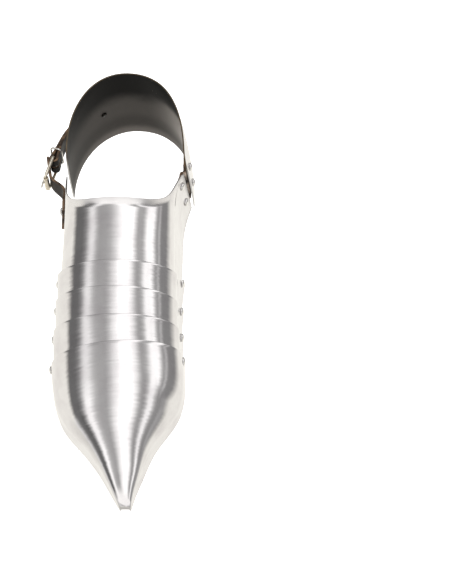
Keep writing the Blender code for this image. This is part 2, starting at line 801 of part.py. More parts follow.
def roller_mesh(name):
    """A sleeve round the front bar, between the frame's corners."""
    half = frame_half_rise - BUCKLE_CORNER_RADIUS - CLEARANCE
    bore = BUCKLE_WIRE + CLEARANCE
    work = bmesh.new()
    sides = 12
    rings = []
    for radius, height in ((ROLLER_RADIUS, half), (ROLLER_RADIUS, -half), (bore, -half), (bore, half)):
        ring = []
        for i in range(sides):
            angle = math.tau * i / sides
            flat = Vector((math.cos(angle) * radius, math.sin(angle) * radius, height))
            ring.append(work.verts.new(roller_bar + flat))
        rings.append(ring)
    for a, b in zip(rings, rings[1:] + rings[:1]):
        for i in range(sides):
            j = (i + 1) % sides
            work.faces.new((a[i], b[i], b[j], a[j]))
    return mesh_from(name, work)


add_piece(roller_mesh("buckle_roller"), ROLLER_BRASS, sabaton, NONE)

hook = BUCKLE_WIRE + CLEARANCE + PRONG_RADIUS
prong_path = []
for angle in spread(-150.0, 90.0, 8):
    a = math.radians(angle)
    prong_path.append(heel_bar + buckle_run * math.cos(a) * hook + buckle_out * math.sin(a) * hook)
prong_rest = roller_bar + buckle_out * (ROLLER_RADIUS + PRONG_RADIUS + CLEARANCE)
prong_tip = prong_rest - buckle_run * PRONG_OVERHANG - buckle_out * (PRONG_OVERHANG * 0.1)
prong_path += [prong_path[-1].lerp(prong_rest, share) for share in (0.2, 0.4, 0.6, 0.8, 1.0)]
prong_path.append(prong_tip)
add_piece(tube_mesh("buckle_prong", prong_path, PRONG_RADIUS, 6, False), BUCKLE_METAL, sabaton, NONE)


# Billet strap: riveted to the instep plate, under the roller, out between the bars and over the heel bar
def wall_line(along, level, lift):
    girth = girth_at_level(along, level, -1.0)
    return tunnel_point(along, girth) + tunnel_normal(along, girth) * lift


strap_low = STRAP_LEVEL - STRAP_WIDTH / 2.0
strap_high = STRAP_LEVEL + STRAP_WIDTH / 2.0
lie = CLEARANCE * 2.0 + STRAP / 2.0
over_fold = BUCKLE_WIRE + CLEARANCE * 3.0 + STRAP * 1.5
under_roller = ROLLER_RADIUS + STRAP / 2.0 + ROLLER_SLACK
free_way = [
    roller_bar + buckle_run * 0.001 - buckle_out * under_roller,
    roller_bar + buckle_run * (BUCKLE_LENGTH * 0.42),
    heel_bar + buckle_out * (over_fold + CLEARANCE),
    heel_bar + buckle_run * BILLET_TAIL + buckle_out * (over_fold + CLEARANCE * 3.0),
]
lines = []
for level in (strap_low, strap_high):
    points = [wall_line(along, level, lie) for along in spread(BILLET_FRONT_ALONG, BILLET_LEAVES_ALONG, 3)]
    points += [side_point(p.x, p.y, level) for p in free_way]
    lines.append(curve_through(points, 3))
billet = add_piece(band_mesh("billet_strap", lines[0], lines[1], STRAP), BLACK_LEATHER, sabaton, NONE)
cut_with(billet, tube_mesh("billet_hole", prong_path[8:], PRONG_RADIUS + CLEARANCE, 8, False), NONE, (0.0, 0.0, 0.0))

billet_girth = girth_at_level(BILLET_RIVET_ALONG, STRAP_LEVEL, -1.0)
billet_out = tunnel_normal(BILLET_RIVET_ALONG, billet_girth)
billet_face = wall_line(BILLET_RIVET_ALONG, STRAP_LEVEL, lie + STRAP / 2.0)
billet_spot = Spot(billet_face, billet_out)
add_rivet("billet_rivet", billet_spot, CLEARANCE * 2.0 + STRAP + STEEL, sabaton)
drill(billet, billet_spot)
drill(instep, billet_spot)


# Buckle strap: riveted to the cup, forward to the heel bar, round it and back over itself to the rivet
def cup_line(turn, level, lift):
    spot = cup_spot(turn, 0.0, level)
    return spot.place + spot.out * lift


near_layer = CLEARANCE * 2.0 + STRAP / 2.0
far_layer = near_layer + STRAP + CLEARANCE
fold = BUCKLE_WIRE + CLEARANCE * 2.0 + STRAP / 2.0
lines = []
for level in (strap_low, strap_high):
    inner_points = [cup_line(-turn, level, near_layer) for turn in (ANCHOR_ANGLE, ANCHOR_RIVET_ANGLE, ANCHOR_LEAVES_ANGLE)]
    outer_points = [cup_line(-turn, level, far_layer) for turn in (ANCHOR_LEAVES_ANGLE, ANCHOR_RIVET_ANGLE, ANCHOR_ANGLE)]
    middle = side_point(heel_bar_side + SWAY_STANDOFF, SWAY_ALONG, level)
    across = Vector((math.cos(math.radians(SWAY_TURN)), math.sin(math.radians(SWAY_TURN)), 0.0))
    half_gap = (STRAP + CLEARANCE) / 2.0
    bar = side_point(heel_bar.x, heel_bar.y, level)
    behind = FOLD_LENGTH
    inner_points.append(middle + across * half_gap)
    inner_points.append(bar + buckle_run * behind - buckle_out * (fold * 0.75))
    outer_points.insert(0, middle - across * half_gap)
    outer_points.insert(0, bar + buckle_run * behind + buckle_out * (fold * 0.75))
    bend = []
    for angle in spread(-90.0, 90.0, 6):
        a = math.radians(angle)
        bend.append(bar - buckle_run * (math.cos(a) * fold) + buckle_out * (math.sin(a) * fold))
    approach = curve_through(inner_points + bend[:1], 3)
    leave = curve_through(bend[-1:] + outer_points, 3)
    lines.append(approach + bend[1:-1] + leave)
strap = add_piece(band_mesh("buckle_strap", lines[0], lines[1], STRAP), BLACK_LEATHER, sabaton, NONE)
slot_half = PRONG_RADIUS + CLEARANCE
slot_low = side_point(heel_bar_side - SLOT_REACH, HEEL_BAR_ALONG - SLOT_REACH, STRAP_LEVEL - slot_half)
slot_high = side_point(heel_bar_side + SLOT_REACH, HEEL_BAR_ALONG + SLOT_REACH, STRAP_LEVEL + slot_half)
cut_with(strap, box_mesh("buckle_strap_slot", slot_low, slot_high), NONE, (0.0, 0.0, 0.0))
anchor_turn = -ANCHOR_RIVET_ANGLE
anchor = cup_spot(anchor_turn, 0.0, STRAP_LEVEL)
anchor_spot = Spot(anchor.place + anchor.out * (far_layer + STRAP / 2.0), anchor.out)
add_rivet("buckle_strap_rivet", anchor_spot, far_layer + STRAP / 2.0 + STEEL, sabaton)
drill(strap, anchor_spot)
drill(cup, anchor_spot)


# Keeper: a thin wire loop round the doubled strap, with room for the billet's end
keeper_half_rise = STRAP_WIDTH / 2.0 + CLEARANCE + KEEPER_WIRE + KEEPER_SLACK
stack_half = fold * 0.75 + STRAP / 2.0
keeper_half_run = stack_half + KEEPER_WIRE + KEEPER_SLACK + KEEPER_ROOM / 2.0
keeper_centre = heel_bar + buckle_run * FOLD_LENGTH + buckle_out * (KEEPER_ROOM / 2.0)
keeper_path = rounded_loop(
    keeper_centre,
    buckle_out,
    upright,
    keeper_half_run,
    keeper_half_rise,
    KEEPER_CORNER_RADIUS,
    3,
)
add_piece(tube_mesh("keeper_loop", keeper_path, KEEPER_WIRE, 6, True), BUCKLE_METAL, sabaton, NONE)

low = Vector([min(p[axis] for p in corners) for axis in range(3)])
high = Vector([max(p[axis] for p in corners) for axis in range(3)])
middle = (low + high) / 2.0
sabaton.location = (-middle.x, -middle.y, -low.z)
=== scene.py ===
import math
from collections import namedtuple

import bmesh
import bpy
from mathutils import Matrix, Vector


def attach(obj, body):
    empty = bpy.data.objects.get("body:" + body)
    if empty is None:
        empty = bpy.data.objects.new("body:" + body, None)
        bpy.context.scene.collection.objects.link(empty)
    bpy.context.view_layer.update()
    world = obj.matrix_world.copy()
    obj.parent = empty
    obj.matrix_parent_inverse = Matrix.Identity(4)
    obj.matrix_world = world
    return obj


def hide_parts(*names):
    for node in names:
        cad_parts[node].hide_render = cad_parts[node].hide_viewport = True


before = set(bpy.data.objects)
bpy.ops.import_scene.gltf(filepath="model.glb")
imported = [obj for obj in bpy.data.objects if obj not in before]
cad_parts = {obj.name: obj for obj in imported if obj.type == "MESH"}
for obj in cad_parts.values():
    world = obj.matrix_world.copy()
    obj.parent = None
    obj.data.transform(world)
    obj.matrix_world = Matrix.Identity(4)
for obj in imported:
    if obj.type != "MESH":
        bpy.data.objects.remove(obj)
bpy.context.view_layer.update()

# The view: the sabaton seen from above its toe, a little to its inner side, as it stands on a pale
# floor. The plates are laid out from the toe tip, so everything is moved by the same small offset.
TOE_TIP = Vector((0.015699, -0.186193, 0.0))
AIM = TOE_TIP + Vector((0.0787, 0.19985, 0.0))
VIEW_HEIGHT = 60.0
VIEW_DISTANCE = 1.2
LENS = 85.95


def new_object(name, data):
    obj = bpy.data.objects.new(name, data)
    bpy.context.scene.collection.objects.link(obj)
    return obj


camera_data = bpy.data.cameras.new("camera")
camera_data.lens = LENS
camera = new_object("camera", camera_data)
lean = math.radians(VIEW_HEIGHT)
camera.location = AIM + Vector((0.0, -math.cos(lean), math.sin(lean))) * VIEW_DISTANCE
camera.rotation_euler = (AIM - camera.location).to_track_quat("-Z", "Y").to_euler()
bpy.context.scene.camera = camera


# The studio: a pale lit floor, which lies lower than the part so that the toe can bend down, and soft
# boxes hung along the foot, which the polished steel mirrors. The world holds them as bands round the
# foot's long axis, in one set over the foot and one over the toe, with a box ahead and a dim room behind.
FLOOR_SIZE = 20.0
FLOOR_DROP = 0.058
FLOOR_COLOUR = (0.92, 0.92, 0.915, 1.0)
FLOOR_CLOUD = (0.90, 0.90, 0.90, 1.0)
FLOOR_GLOW = 0.84
FLOOR_MOTTLE = (1.2, 2.0, 0.5)
FLOOR_ROUGHNESS = 0.8
SOFT_BOX_SIZE = 2.4
SOFT_BOX_POWER = 31.0
SOFT_BOX_PLACE = (0.2, -0.2, 1.9)
BOX_TINT = (1.0, 0.985, 0.975)
FLOOR_TINT = (1.02, 0.995, 0.93)
FLOOR_BANDS = ((-180.0, 1.0), (-87.0, 1.0), (106.0, 1.0), (180.0, 1.0))
BOX_BANDS = (
    (-78.0, 0.17), (-64.0, 0.18), (-58.0, 0.29), (-54.0, 0.52), (-50.0, 0.87), (-46.0, 1.02), (-42.0, 0.97),
    (-38.0, 0.72), (-34.0, 0.51), (-29.0, 0.43), (-17.0, 0.46), (-10.0, 0.57), (-5.0, 0.78), (3.0, 1.24),
    (10.0, 1.42), (28.0, 1.42), (33.0, 0.92), (38.0, 0.50), (47.0, 0.49), (51.0, 0.80), (55.0, 1.32),
    (66.0, 1.34), (71.0, 0.60), (74.0, 0.33), (78.0, 0.66), (81.0, 0.29), (93.0, 0.28),
)
TOE_BANDS = (
    (-100.0, 1.0), (-88.0, 0.82), (-80.0, 0.42), (-74.0, 0.19), (-62.0, 0.14), (-57.0, 0.24),
    (-52.0, 0.60), (-47.0, 1.22), (-40.0, 1.28), (-36.0, 0.96), (-31.0, 0.62), (-25.0, 0.49),
    (-15.0, 0.44), (-10.0, 0.66), (-6.0, 1.02), (1.0, 1.42), (17.0, 1.42), (23.0, 1.08),
    (27.0, 0.72), (31.0, 0.45), (36.0, 0.38), (41.0, 0.60), (46.0, 1.15), (52.0, 1.15),
    (57.0, 0.60), (63.0, 0.34), (70.0, 0.31), (78.0, 0.43), (90.0, 0.37), (99.0, 0.68),
    (107.0, 1.0),
)
TOE_FLOOR_ANGLE = 95.0
TOE_OUTER = (-0.24, -0.35)
TOE_INNER = (-0.10, -0.30)
GATHER_FROM = 0.04
GATHER_OUTER = 0.45
GATHER_OUTER_LEAST = 0.0
GATHER_INNER = 0.6
GATHER_INNER_LEAST = -0.24
FRONT_BOX = (-0.55, -0.68)
FRONT_BOX_HEIGHT = (0.0, 0.2)
FRONT_LEVEL = (1.25, 1.23, 1.20, 1.0)
FRONT_FLOOR = (-0.15, -0.65)
FRONT_FLOOR_DEPTH = (-0.02, -0.12)
FRONT_FLOOR_LEVEL = 0.62
REAR_DIM = (0.60, 0.80)
REAR_DIM_HEIGHT = (-0.5, -0.2)
REAR_LEVEL = 0.30


def give(tree, socket, value):
    """Link or set a socket; a node stands for its first output and an amount for its own."""
    value = getattr(value, "socket", value)
    value = value.outputs[0] if isinstance(value, bpy.types.Node) else value
    if isinstance(value, bpy.types.NodeSocket):
        tree.links.new(value, socket)
    else:
        socket.default_value = value


def node_maker(tree):
    """Short hand for adding a node with its settings and inputs."""

    def add(kind, settings=None, **inputs):
        node = tree.nodes.new(kind)
        for key, value in (settings or {}).items():
            setattr(node, key, value)
        for key, value in inputs.items():
            place = int(key[1:]) if key[0] == "_" else key.replace("_", " ")
            give(tree, node.inputs[place], value)
        return node

    return add


def new_material(name):
    """A bare material, the short hand for its nodes and the place on the body."""
    material = bpy.data.materials.new(name)
    material.use_nodes = True
    material.node_tree.nodes.clear()
    add = node_maker(material.node_tree)
    return material, add, add("ShaderNodeTexCoord").outputs["Object"]


def surface(add, **inputs):
    """A material's one shader."""
    add("ShaderNodeOutputMaterial", _0=add("ShaderNodeBsdfPrincipled", **inputs))


def worked(add, operation, *values):
    """The result of one sum."""
    inputs = {f"_{i}": value for i, value in enumerate(values)}
    return add("ShaderNodeMath", {"operation": operation}, **inputs).outputs[0]


def ramped(add, value, ends, results=(0.0, 1.0)):
    """A value carried from one range to another and held at its ends."""
    limits = {"_1": ends[0], "_2": ends[1], "_3": results[0], "_4": results[1]}
    return add("ShaderNodeMapRange", _0=value, **limits).outputs[0]


def blended(add, share, first, second):
    """Two colours mixed by a share."""
    return add("ShaderNodeMix", {"data_type": "RGBA"}, _0=share, _6=first, _7=second).outputs[2]


def noise(add, where, scale, detail, roughness):
    return add("ShaderNodeTexNoise", Vector=where, Scale=scale, Detail=detail, Roughness=roughness).outputs[0]


world = bpy.data.worlds.new("studio")
world.use_nodes = True
bpy.context.scene.world = world
world.node_tree.nodes.clear()
add = node_maker(world.node_tree)
direction = add("ShaderNodeTexCoord").outputs["Generated"]
sideways, ahead, upward = add("ShaderNodeSeparateXYZ", _0=direction).outputs
turn = worked(add, "ARCTAN2", sideways, upward)
inner_side = worked(add, "GREATER_THAN", turn, 0.0)


def sided(outer, inner):
    """The first value on the foot's outer side and the second on its inner side."""
    return add("ShaderNodeMix", {"data_type": "FLOAT"}, _0=inner_side, _2=outer, _3=inner).outputs[0]


def gathered(strength, least):
    """The angle round the foot with its bands drawn together or apart as the direction turns to the rear."""
    rearward = worked(add, "MAXIMUM", worked(add, "SUBTRACT", ahead, GATHER_FROM), least)
    return worked(add, "DIVIDE", turn, worked(add, "MULTIPLY_ADD", rearward, strength, 1.0))


def banded(angle, bands):
    """The colour of the boxes at an angle round the foot, from (degrees, level, tint) bands."""
    ramp = add("ShaderNodeValToRGB", _0=ramped(add, angle, (-math.pi, math.pi)))
    stops = ramp.color_ramp.elements
    while len(stops) > 1:
        stops.remove(stops[-1])
    for number, (degrees, level, tint) in enumerate(sorted(bands)):
        place = (degrees + 180.0) / 360.0
        stop = stops[0] if number == 0 else stops.new(place)
        stop.position = place
        stop.color = (level * tint[0], level * tint[1], level * tint[2], 1.0)
    return ramp.outputs["Color"]


foot_turn = sided(gathered(GATHER_OUTER, GATHER_OUTER_LEAST), gathered(GATHER_INNER, GATHER_INNER_LEAST))
foot_bands = [(*band, FLOOR_TINT) for band in FLOOR_BANDS] + [(*band, BOX_TINT) for band in BOX_BANDS]
toe_bands = [(*band, FLOOR_TINT if abs(band[0]) > TOE_FLOOR_ANGLE else BOX_TINT) for band in TOE_BANDS]
toe_share = sided(ramped(add, ahead, TOE_OUTER), ramped(add, ahead, TOE_INNER))
hung = blended(add, toe_share, banded(foot_turn, foot_bands), banded(turn, toe_bands))
front = ramped(add, ahead, FRONT_BOX, (0.0, ramped(add, upward, FRONT_BOX_HEIGHT)))
boxes = blended(add, front, hung, FRONT_LEVEL)
rear_loss = ramped(add, upward, REAR_DIM_HEIGHT, (0.0, REAR_LEVEL - 1.0))
rear_level = worked(add, "MULTIPLY_ADD", ramped(add, ahead, REAR_DIM), rear_loss, 1.0)
front_floor = ramped(add, ahead, FRONT_FLOOR, (0.0, ramped(add, upward, FRONT_FLOOR_DEPTH)))
floor_level = worked(add, "MULTIPLY_ADD", front_floor, FRONT_FLOOR_LEVEL - 1.0, 1.0)
back = add("ShaderNodeBackground", _0=boxes, _1=worked(add, "MULTIPLY", rear_level, floor_level))
add("ShaderNodeOutputWorld", _0=back)

floor_mesh = bpy.data.meshes.new("floor")
half = FLOOR_SIZE / 2.0
corners = [(x * half, y * half, 0.0) for x, y in ((-1, -1), (1, -1), (1, 1), (-1, 1))]
floor_mesh.from_pydata(corners, [], [(0, 1, 2, 3)])
floor = new_object("floor", floor_mesh)
floor.location.z = -FLOOR_DROP
floor.visible_glossy = False
floor_paint, add, body = new_material("pale_floor")
tone = blended(add, noise(add, body, *FLOOR_MOTTLE), FLOOR_COLOUR, FLOOR_CLOUD)
glow = {"Emission_Color": FLOOR_COLOUR, "Emission_Strength": FLOOR_GLOW}
surface(add, Base_Color=tone, Roughness=FLOOR_ROUGHNESS, **glow)
floor_mesh.materials.append(floor_paint)

soft_box = bpy.data.lights.new("overhead_soft_box", "AREA")
soft_box.shape = "RECTANGLE"
soft_box.size = SOFT_BOX_SIZE
soft_box.size_y = SOFT_BOX_SIZE
soft_box.energy = SOFT_BOX_POWER
overhead = new_object("overhead_soft_box", soft_box)
overhead.location = SOFT_BOX_PLACE
overhead.visible_glossy = False
overhead.visible_camera = False
bpy.context.scene.view_settings.view_transform = "Standard"


# Instep plate: sheet steel raised into a tunnel over the instep, its rear edge turned out in a lip
# over the ankle and drawn back into a horn on each side. Polished outside, left dark inside.
FOOT_LENGTH = 0.372
BALL_WIDTH = 0.110
INSTEP_HEIGHT = 0.100
STEEL = 0.0012
EDGE_ROUND = 0.00055
WALL_LEAN = 0.11
ARCH_POWER = 2.1
ARCH_SHARE = 0.68
RIVET_LEVEL = 0.015
EAR_REACH = 0.0085
CROWN_OVERLAP = 0.012
EDGE_SWEEP_POWER = 2.5
SHINGLE_RISE = 0.0030
TOE_RISE_LENGTH = 0.046
NOSE_LENGTH = 0.006
NOSE_LIP_SHARE = 0.35
RIM_CROWN_ALONG = 0.231
HORN_ALONG_OUTER = 0.284
HORN_ALONG_INNER = 0.287
HORN_SHARE = 0.70
RIM_POWER = 2.8
LIP_LENGTH = 0.0065
LIP_RISE = 0.0042
LIP_POWER = 1.6
HORN_LIP_SHARE = 0.0
LIP_FADE = 1.3
LIP_DULLING = 0.26
SWAY = 0.017
FINE_LINES = (9.0, 1500.0, 1.0)
COARSE_STROKES = (34.0, 620.0, 1.0)
PLATE_TINT = (0.79, 0.78, 0.785, 1.0)
WORN_TINT = (0.711, 0.6903, 0.702575, 1.0)
PROBE_LENGTH = 0.0005
PROBE_GIRTH = 0.002
FLOOR_GIRTH = 0.99999
INSTEP_SEED = 0.0
SEED_SKEW = 0.37
STROKE_NOISE = (1.0, 3.0, 0.6)
STROKE_RANGE = (0.35, 0.72)
LINE_DEPTH = (0.10, 0.00008)
RIPPLES = (38.0, 1.0, 0.4)
RIPPLE_DEPTH = (0.30, 0.0006)
SMEARS = (55.0, 3.0, 0.55)
SMEAR_RANGE = (0.42, 0.72)
SMEAR_DULLING = 0.03
STEEL_ROUGHNESS = (0.045, 0.15)
SCALE_TONES = ((0.020, 0.017, 0.015, 1.0), (0.034, 0.029, 0.026, 1.0))
SCALE_PATCHES = (24.0, 4.0, 0.6)
SCALE_GRAIN = (900.0, 2.0, 0.6)
SCALE_DEPTH = (0.25, 0.0001)
SCALE_METAL = 0.35
SCALE_ROUGHNESS = (0.42, 0.55)
PATCH_RANGE = (0.35, 0.7)
ARCH_SLICES = 120
WALL_SLICES = 14
EDGE_ANGLES = (30.0, 60.0, 90.0)
EDGE_FACES = 2 * len(EDGE_ANGLES) - 1

Station = namedtuple("Station", "along outer inner crown spring")
Joint = namedtuple("Joint", "crown outer_rivet inner_rivet")
STATIONS = [
    Station(0.000, 0.045, 0.036, 0.070, 0.052),
    Station(0.032, 0.110, 0.067, 0.145, 0.100),
    Station(0.070, 0.184, 0.114, 0.216, 0.138),
    Station(0.108, 0.272, 0.162, 0.286, 0.150),
    Station(0.140, 0.362, 0.216, 0.345, 0.147),
    Station(0.172, 0.455, 0.290, 0.400, 0.130),
    Station(0.204, 0.516, 0.357, 0.453, 0.110),
    Station(0.242, 0.553, 0.396, 0.509, 0.098),
    Station(0.285, 0.571, 0.400, 0.566, 0.115),
    Station(0.333, 0.577, 0.384, 0.630, 0.175),
    Station(0.403, 0.575, 0.368, 0.722, 0.272),
    Station(0.511, 0.570, 0.364, 0.861, 0.385),
    Station(0.624, 0.568, 0.374, 0.985, 0.490),
    Station(0.712, 0.577, 0.390, 1.030, 0.545),
    Station(0.780, 0.585, 0.450, 1.060, 0.570),
]
JOINTS = [
    Joint(0.489, 0.532, 0.536),
    Joint(0.435, 0.462, 0.462),
    Joint(0.377, 0.389, 0.395),
    Joint(0.322, 0.314, 0.335),
]


class Spline:
    """A natural cubic spline through (x, y) points."""

    def __init__(self, xs, ys):
        self.xs = list(xs)
        self.ys = list(ys)
        count = len(self.xs)
        lower = [0.0] * count
        scaled = [0.0] * count
        for i in range(1, count - 1):
            before = self.xs[i] - self.xs[i - 1]
            after = self.xs[i + 1] - self.xs[i]
            rise = (self.ys[i + 1] - self.ys[i]) / after - (self.ys[i] - self.ys[i - 1]) / before
            pivot = 2.0 * (before + after) - before * lower[i - 1]
            lower[i] = after / pivot
            scaled[i] = (6.0 * rise - before * scaled[i - 1]) / pivot
        self.bends = [0.0] * count
        for i in range(count - 2, 0, -1):
            self.bends[i] = scaled[i] - lower[i] * self.bends[i + 1]

    def __call__(self, x):
        x = min(max(x, self.xs[0]), self.xs[-1])
        i = 0
        while i < len(self.xs) - 2 and x > self.xs[i + 1]:
            i += 1
        step = self.xs[i + 1] - self.xs[i]
        a = (self.xs[i + 1] - x) / step
        b = (x - self.xs[i]) / step
        bend = (a**3 - a) * self.bends[i] + (b**3 - b) * self.bends[i + 1]
        return a * self.ys[i] + b * self.ys[i + 1] + bend * step * step / 6.0


def station_spline(column, unit):
    alongs = [row.along * FOOT_LENGTH for row in STATIONS]
    return Spline(alongs, [getattr(row, column) * unit for row in STATIONS])


OUTER_AT = station_spline("outer", BALL_WIDTH)
INNER_AT = station_spline("inner", BALL_WIDTH)
CROWN_AT = station_spline("crown", INSTEP_HEIGHT)
SPRING_AT = station_spline("spring", INSTEP_HEIGHT)


def nose_share(along):
    if along >= NOSE_LENGTH:
        return 1.0
    behind = 1.0 - max(along, 0.0) / NOSE_LENGTH
    return NOSE_LIP_SHARE + (1.0 - NOSE_LIP_SHARE) * math.sqrt(1.0 - behind * behind)


def tunnel_point(along, girth):
    """A point of the foot's skin; girth runs from -1 at the outer floor edge over 0 at the crown to 1."""
    nose = nose_share(along)
    spring = SPRING_AT(along) * nose
    crown = CROWN_AT(along) * nose
    outward = WALL_LEAN * spring
    outer = -OUTER_AT(along)
    inner = INNER_AT(along)
    centre = (outer + inner) / 2.0
    reach = (inner - outer) / 2.0 - outward
    side = math.copysign(1.0, girth)
    at = abs(girth)
    if at <= ARCH_SHARE:
        angle = math.radians(90.0) * at / ARCH_SHARE
        across = reach * math.sin(angle) ** (2.0 / ARCH_POWER)
        height = spring + (crown - spring) * max(math.cos(angle), 0.0) ** (2.0 / ARCH_POWER)
    else:
        down = (at - ARCH_SHARE) / (1.0 - ARCH_SHARE)
        across = reach + outward * down
        height = spring * (1.0 - down)
    return Vector((centre + side * across, along, height))


def tunnel_normal(along, girth):
    ahead = tunnel_point(along + PROBE_LENGTH, girth) - tunnel_point(along - PROBE_LENGTH, girth)
    low, high = max(girth - PROBE_GIRTH, -1.0), min(girth + PROBE_GIRTH, 1.0)
    round_foot = tunnel_point(along, high) - tunnel_point(along, low)
    return round_foot.cross(ahead).normalized()


def girth_at_level(along, level, side):
    return side * (ARCH_SHARE + (1.0 - ARCH_SHARE) * (1.0 - level / SPRING_AT(along)))


def joint_edge(joint, girth, over):
    """Along of the visible edge at a joint if over, else of the hidden edge beneath it."""
    mean_rivet = (joint.outer_rivet + joint.inner_rivet) / 2.0 * FOOT_LENGTH
    skew = (joint.inner_rivet - joint.outer_rivet) / 2.0 * FOOT_LENGTH
    crown = joint.crown * FOOT_LENGTH - (0.0 if over else CROWN_OVERLAP)
    ear = mean_rivet + (EAR_REACH if over else -EAR_REACH)
    sideways = math.copysign(math.sin(math.radians(90.0) * min(abs(girth) / ARCH_SHARE, 1.0)), girth)
    return crown + (ear - crown) * abs(girth) ** EDGE_SWEEP_POWER + skew * sideways


def rim_edge(girth):
    horn = HORN_ALONG_OUTER if girth < 0 else HORN_ALONG_INNER
    return RIM_CROWN_ALONG + (horn - RIM_CROWN_ALONG) * min(abs(girth) / HORN_SHARE, 1.0) ** RIM_POWER


def smooth(at):
    at = min(max(at, 0.0), 1.0)
    return at * at * (3.0 - 2.0 * at)


def lip_lift(along, girth):
    behind = along - (rim_edge(girth) - LIP_LENGTH)
    if behind <= 0.0 or abs(girth) > HORN_SHARE:
        return 0.0
    fade = 1.0 - (1.0 - HORN_LIP_SHARE) * smooth(abs(girth) / HORN_SHARE)
    return LIP_RISE * fade * (behind / LIP_LENGTH) ** LIP_POWER


def rounding(radius):
    """The quarter bend of an edge, as (out, depth) steps."""
    turns = [math.radians(angle) for angle in EDGE_ANGLES]
    return [(radius * math.sin(turn), radius * (1.0 - math.cos(turn))) for turn in turns]


def sheet_column(point_at, front, rear, steps):
    """One slice through a sheet: along its outer face, round its rear edge, back inside, round the front."""
    outer = [(front + EDGE_ROUND + (rear - front - 2.0 * EDGE_ROUND) * s, 0.0) for s in steps]
    rear_edge = [(rear - EDGE_ROUND + out, depth) for out, depth in rounding(EDGE_ROUND)]
    rear_edge += [(at, STEEL - depth) for at, depth in reversed(rear_edge)]
    inner = [(at, STEEL) for at, depth in reversed(outer)]
    front_edge = [(front + rear - at, STEEL - depth) for at, depth in rear_edge]
    return [point_at(at, depth) for at, depth in outer + rear_edge + inner + front_edge]


def running(points):
    """The length of a line up to each of its points."""
    run = [0.0]
    for a, b in zip(points, points[1:]):
        run.append(run[-1] + (b - a).length)
    return run


def finished_mesh(work):
    """The mesh of a closed bmesh, with its faces turned outward."""
    bmesh.ops.recalc_face_normals(work, faces=work.faces)
    mesh = bpy.data.meshes.new("made")
    work.to_mesh(mesh)
    work.free()
    return mesh


def lofted(columns, uv_name, uvs, finish_at, end_finish):
    """Join slices into a closed skin, with a uv pair for each point and a finish for each face round."""
    work = bmesh.new()
    layer = work.loops.layers.uv.new(uv_name)
    rings = [[work.verts.new(p) for p in column] for column in columns]
    count = len(columns[0])
    for i in range(len(rings) - 1):
        for j in range(count):
            k = (j + 1) % count
            face = work.faces.new((rings[i][j], rings[i][k], rings[i + 1][k], rings[i + 1][j]))
            face.smooth = True
            face.material_index = finish_at(j, k)
            for loop, (column, row) in zip(face.loops, ((i, j), (i, k), (i + 1, k), (i + 1, j))):
                loop[layer].uv = uvs[column][row]
    for ring in (list(reversed(rings[0])), rings[-1]):
        work.faces.new(ring).material_index = end_finish
    return finished_mesh(work)


def sheet_mesh(columns, face_count):
    """A sheet from its slices. The first face_count points of a slice are its outer face."""
    around = running([column[face_count // 2] for column in columns])
    uvs = [[(across, run) for run in running(column)] for across, column in zip(around, columns)]
    inside = range(face_count + EDGE_FACES, 2 * face_count + EDGE_FACES)
    return lofted(columns, "sheet", uvs, lambda j, k: 1 if j in inside else 0, 0)


def bumped(add, height, strength, distance, **over):
    """A normal roughened by a height, over another normal where one is given."""
    return add("ShaderNodeBump", Strength=strength, Distance=distance, Height=height, **over).outputs[0]


def steel_finish(name, seed):
    """Polished sheet steel: hand-polished across the foot, with fine lines, faint ripples and smears."""
    material, add, body = new_material(name)
    where = add("ShaderNodeUVMap", {"uv_map": "sheet"})
    shifted = add("ShaderNodeMapping", Vector=where, Location=(seed, seed * SEED_SKEW, 0.0))
    lines = noise(add, add("ShaderNodeMapping", Vector=shifted, Scale=FINE_LINES), *STROKE_NOISE)
    strokes = noise(add, add("ShaderNodeMapping", Vector=shifted, Scale=COARSE_STROKES), *STROKE_NOISE)
    tilt = ramped(add, strokes, (0.0, 1.0), (0.5 - SWAY, 0.5 + SWAY))
    facets = add("ShaderNodeCombineColor", _0=tilt, _1=0.5, _2=1.0)
    polished = add("ShaderNodeNormalMap", {"uv_map": "sheet"}, Color=facets)
    fine = bumped(add, lines, *LINE_DEPTH, Normal=polished)
    wave = bumped(add, noise(add, body, *RIPPLES), *RIPPLE_DEPTH, Normal=fine)
    stain = ramped(add, noise(add, body, *SMEARS), SMEAR_RANGE)
    colour = blended(add, stain, PLATE_TINT, WORN_TINT)
    gloss = ramped(add, strokes, STROKE_RANGE, STEEL_ROUGHNESS)
    dulled = worked(add, "MULTIPLY_ADD", stain, SMEAR_DULLING, gloss)
    lip = add("ShaderNodeAttribute", {"attribute_name": "lip"}).outputs["Fac"]
    rough = worked(add, "MULTIPLY_ADD", lip, LIP_DULLING, dulled)
    surface(add, Base_Color=colour, Metallic=1.0, Roughness=rough, Normal=wave)
    return material


def dark_finish(name):
    """The unpolished inside: scale and oil left on the steel, nearly black, with faint cloudy patches."""
    material, add, body = new_material(name)
    patch = ramped(add, noise(add, body, *SCALE_PATCHES), PATCH_RANGE)
    surface(
        add,
        Base_Color=blended(add, patch, *SCALE_TONES),
        Metallic=SCALE_METAL,
        Roughness=ramped(add, patch, (0.0, 1.0), SCALE_ROUGHNESS),
        Normal=bumped(add, noise(add, body, *SCALE_GRAIN), *SCALE_DEPTH),
    )
    return material


def link_piece(name, mesh, body, slot_name, *nodes):
    """Put a finished mesh into the scene, riding on its body in place of its plain nodes."""
    mesh.name = name
    obj = new_object(name, mesh)
    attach(obj, body)
    if nodes:
        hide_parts(*nodes)
    return obj


def plate_point(plate, along, girth, depth):
    """A point of a plate, depth below its outer face; its floor edge stays flat on the floor."""
    skin = tunnel_point(along, girth) + tunnel_normal(along, girth) * (plate.lift(along, girth) - depth)
    if abs(girth) > FLOOR_GIRTH:
        skin.z = 0.0
    return skin + TOE_TIP


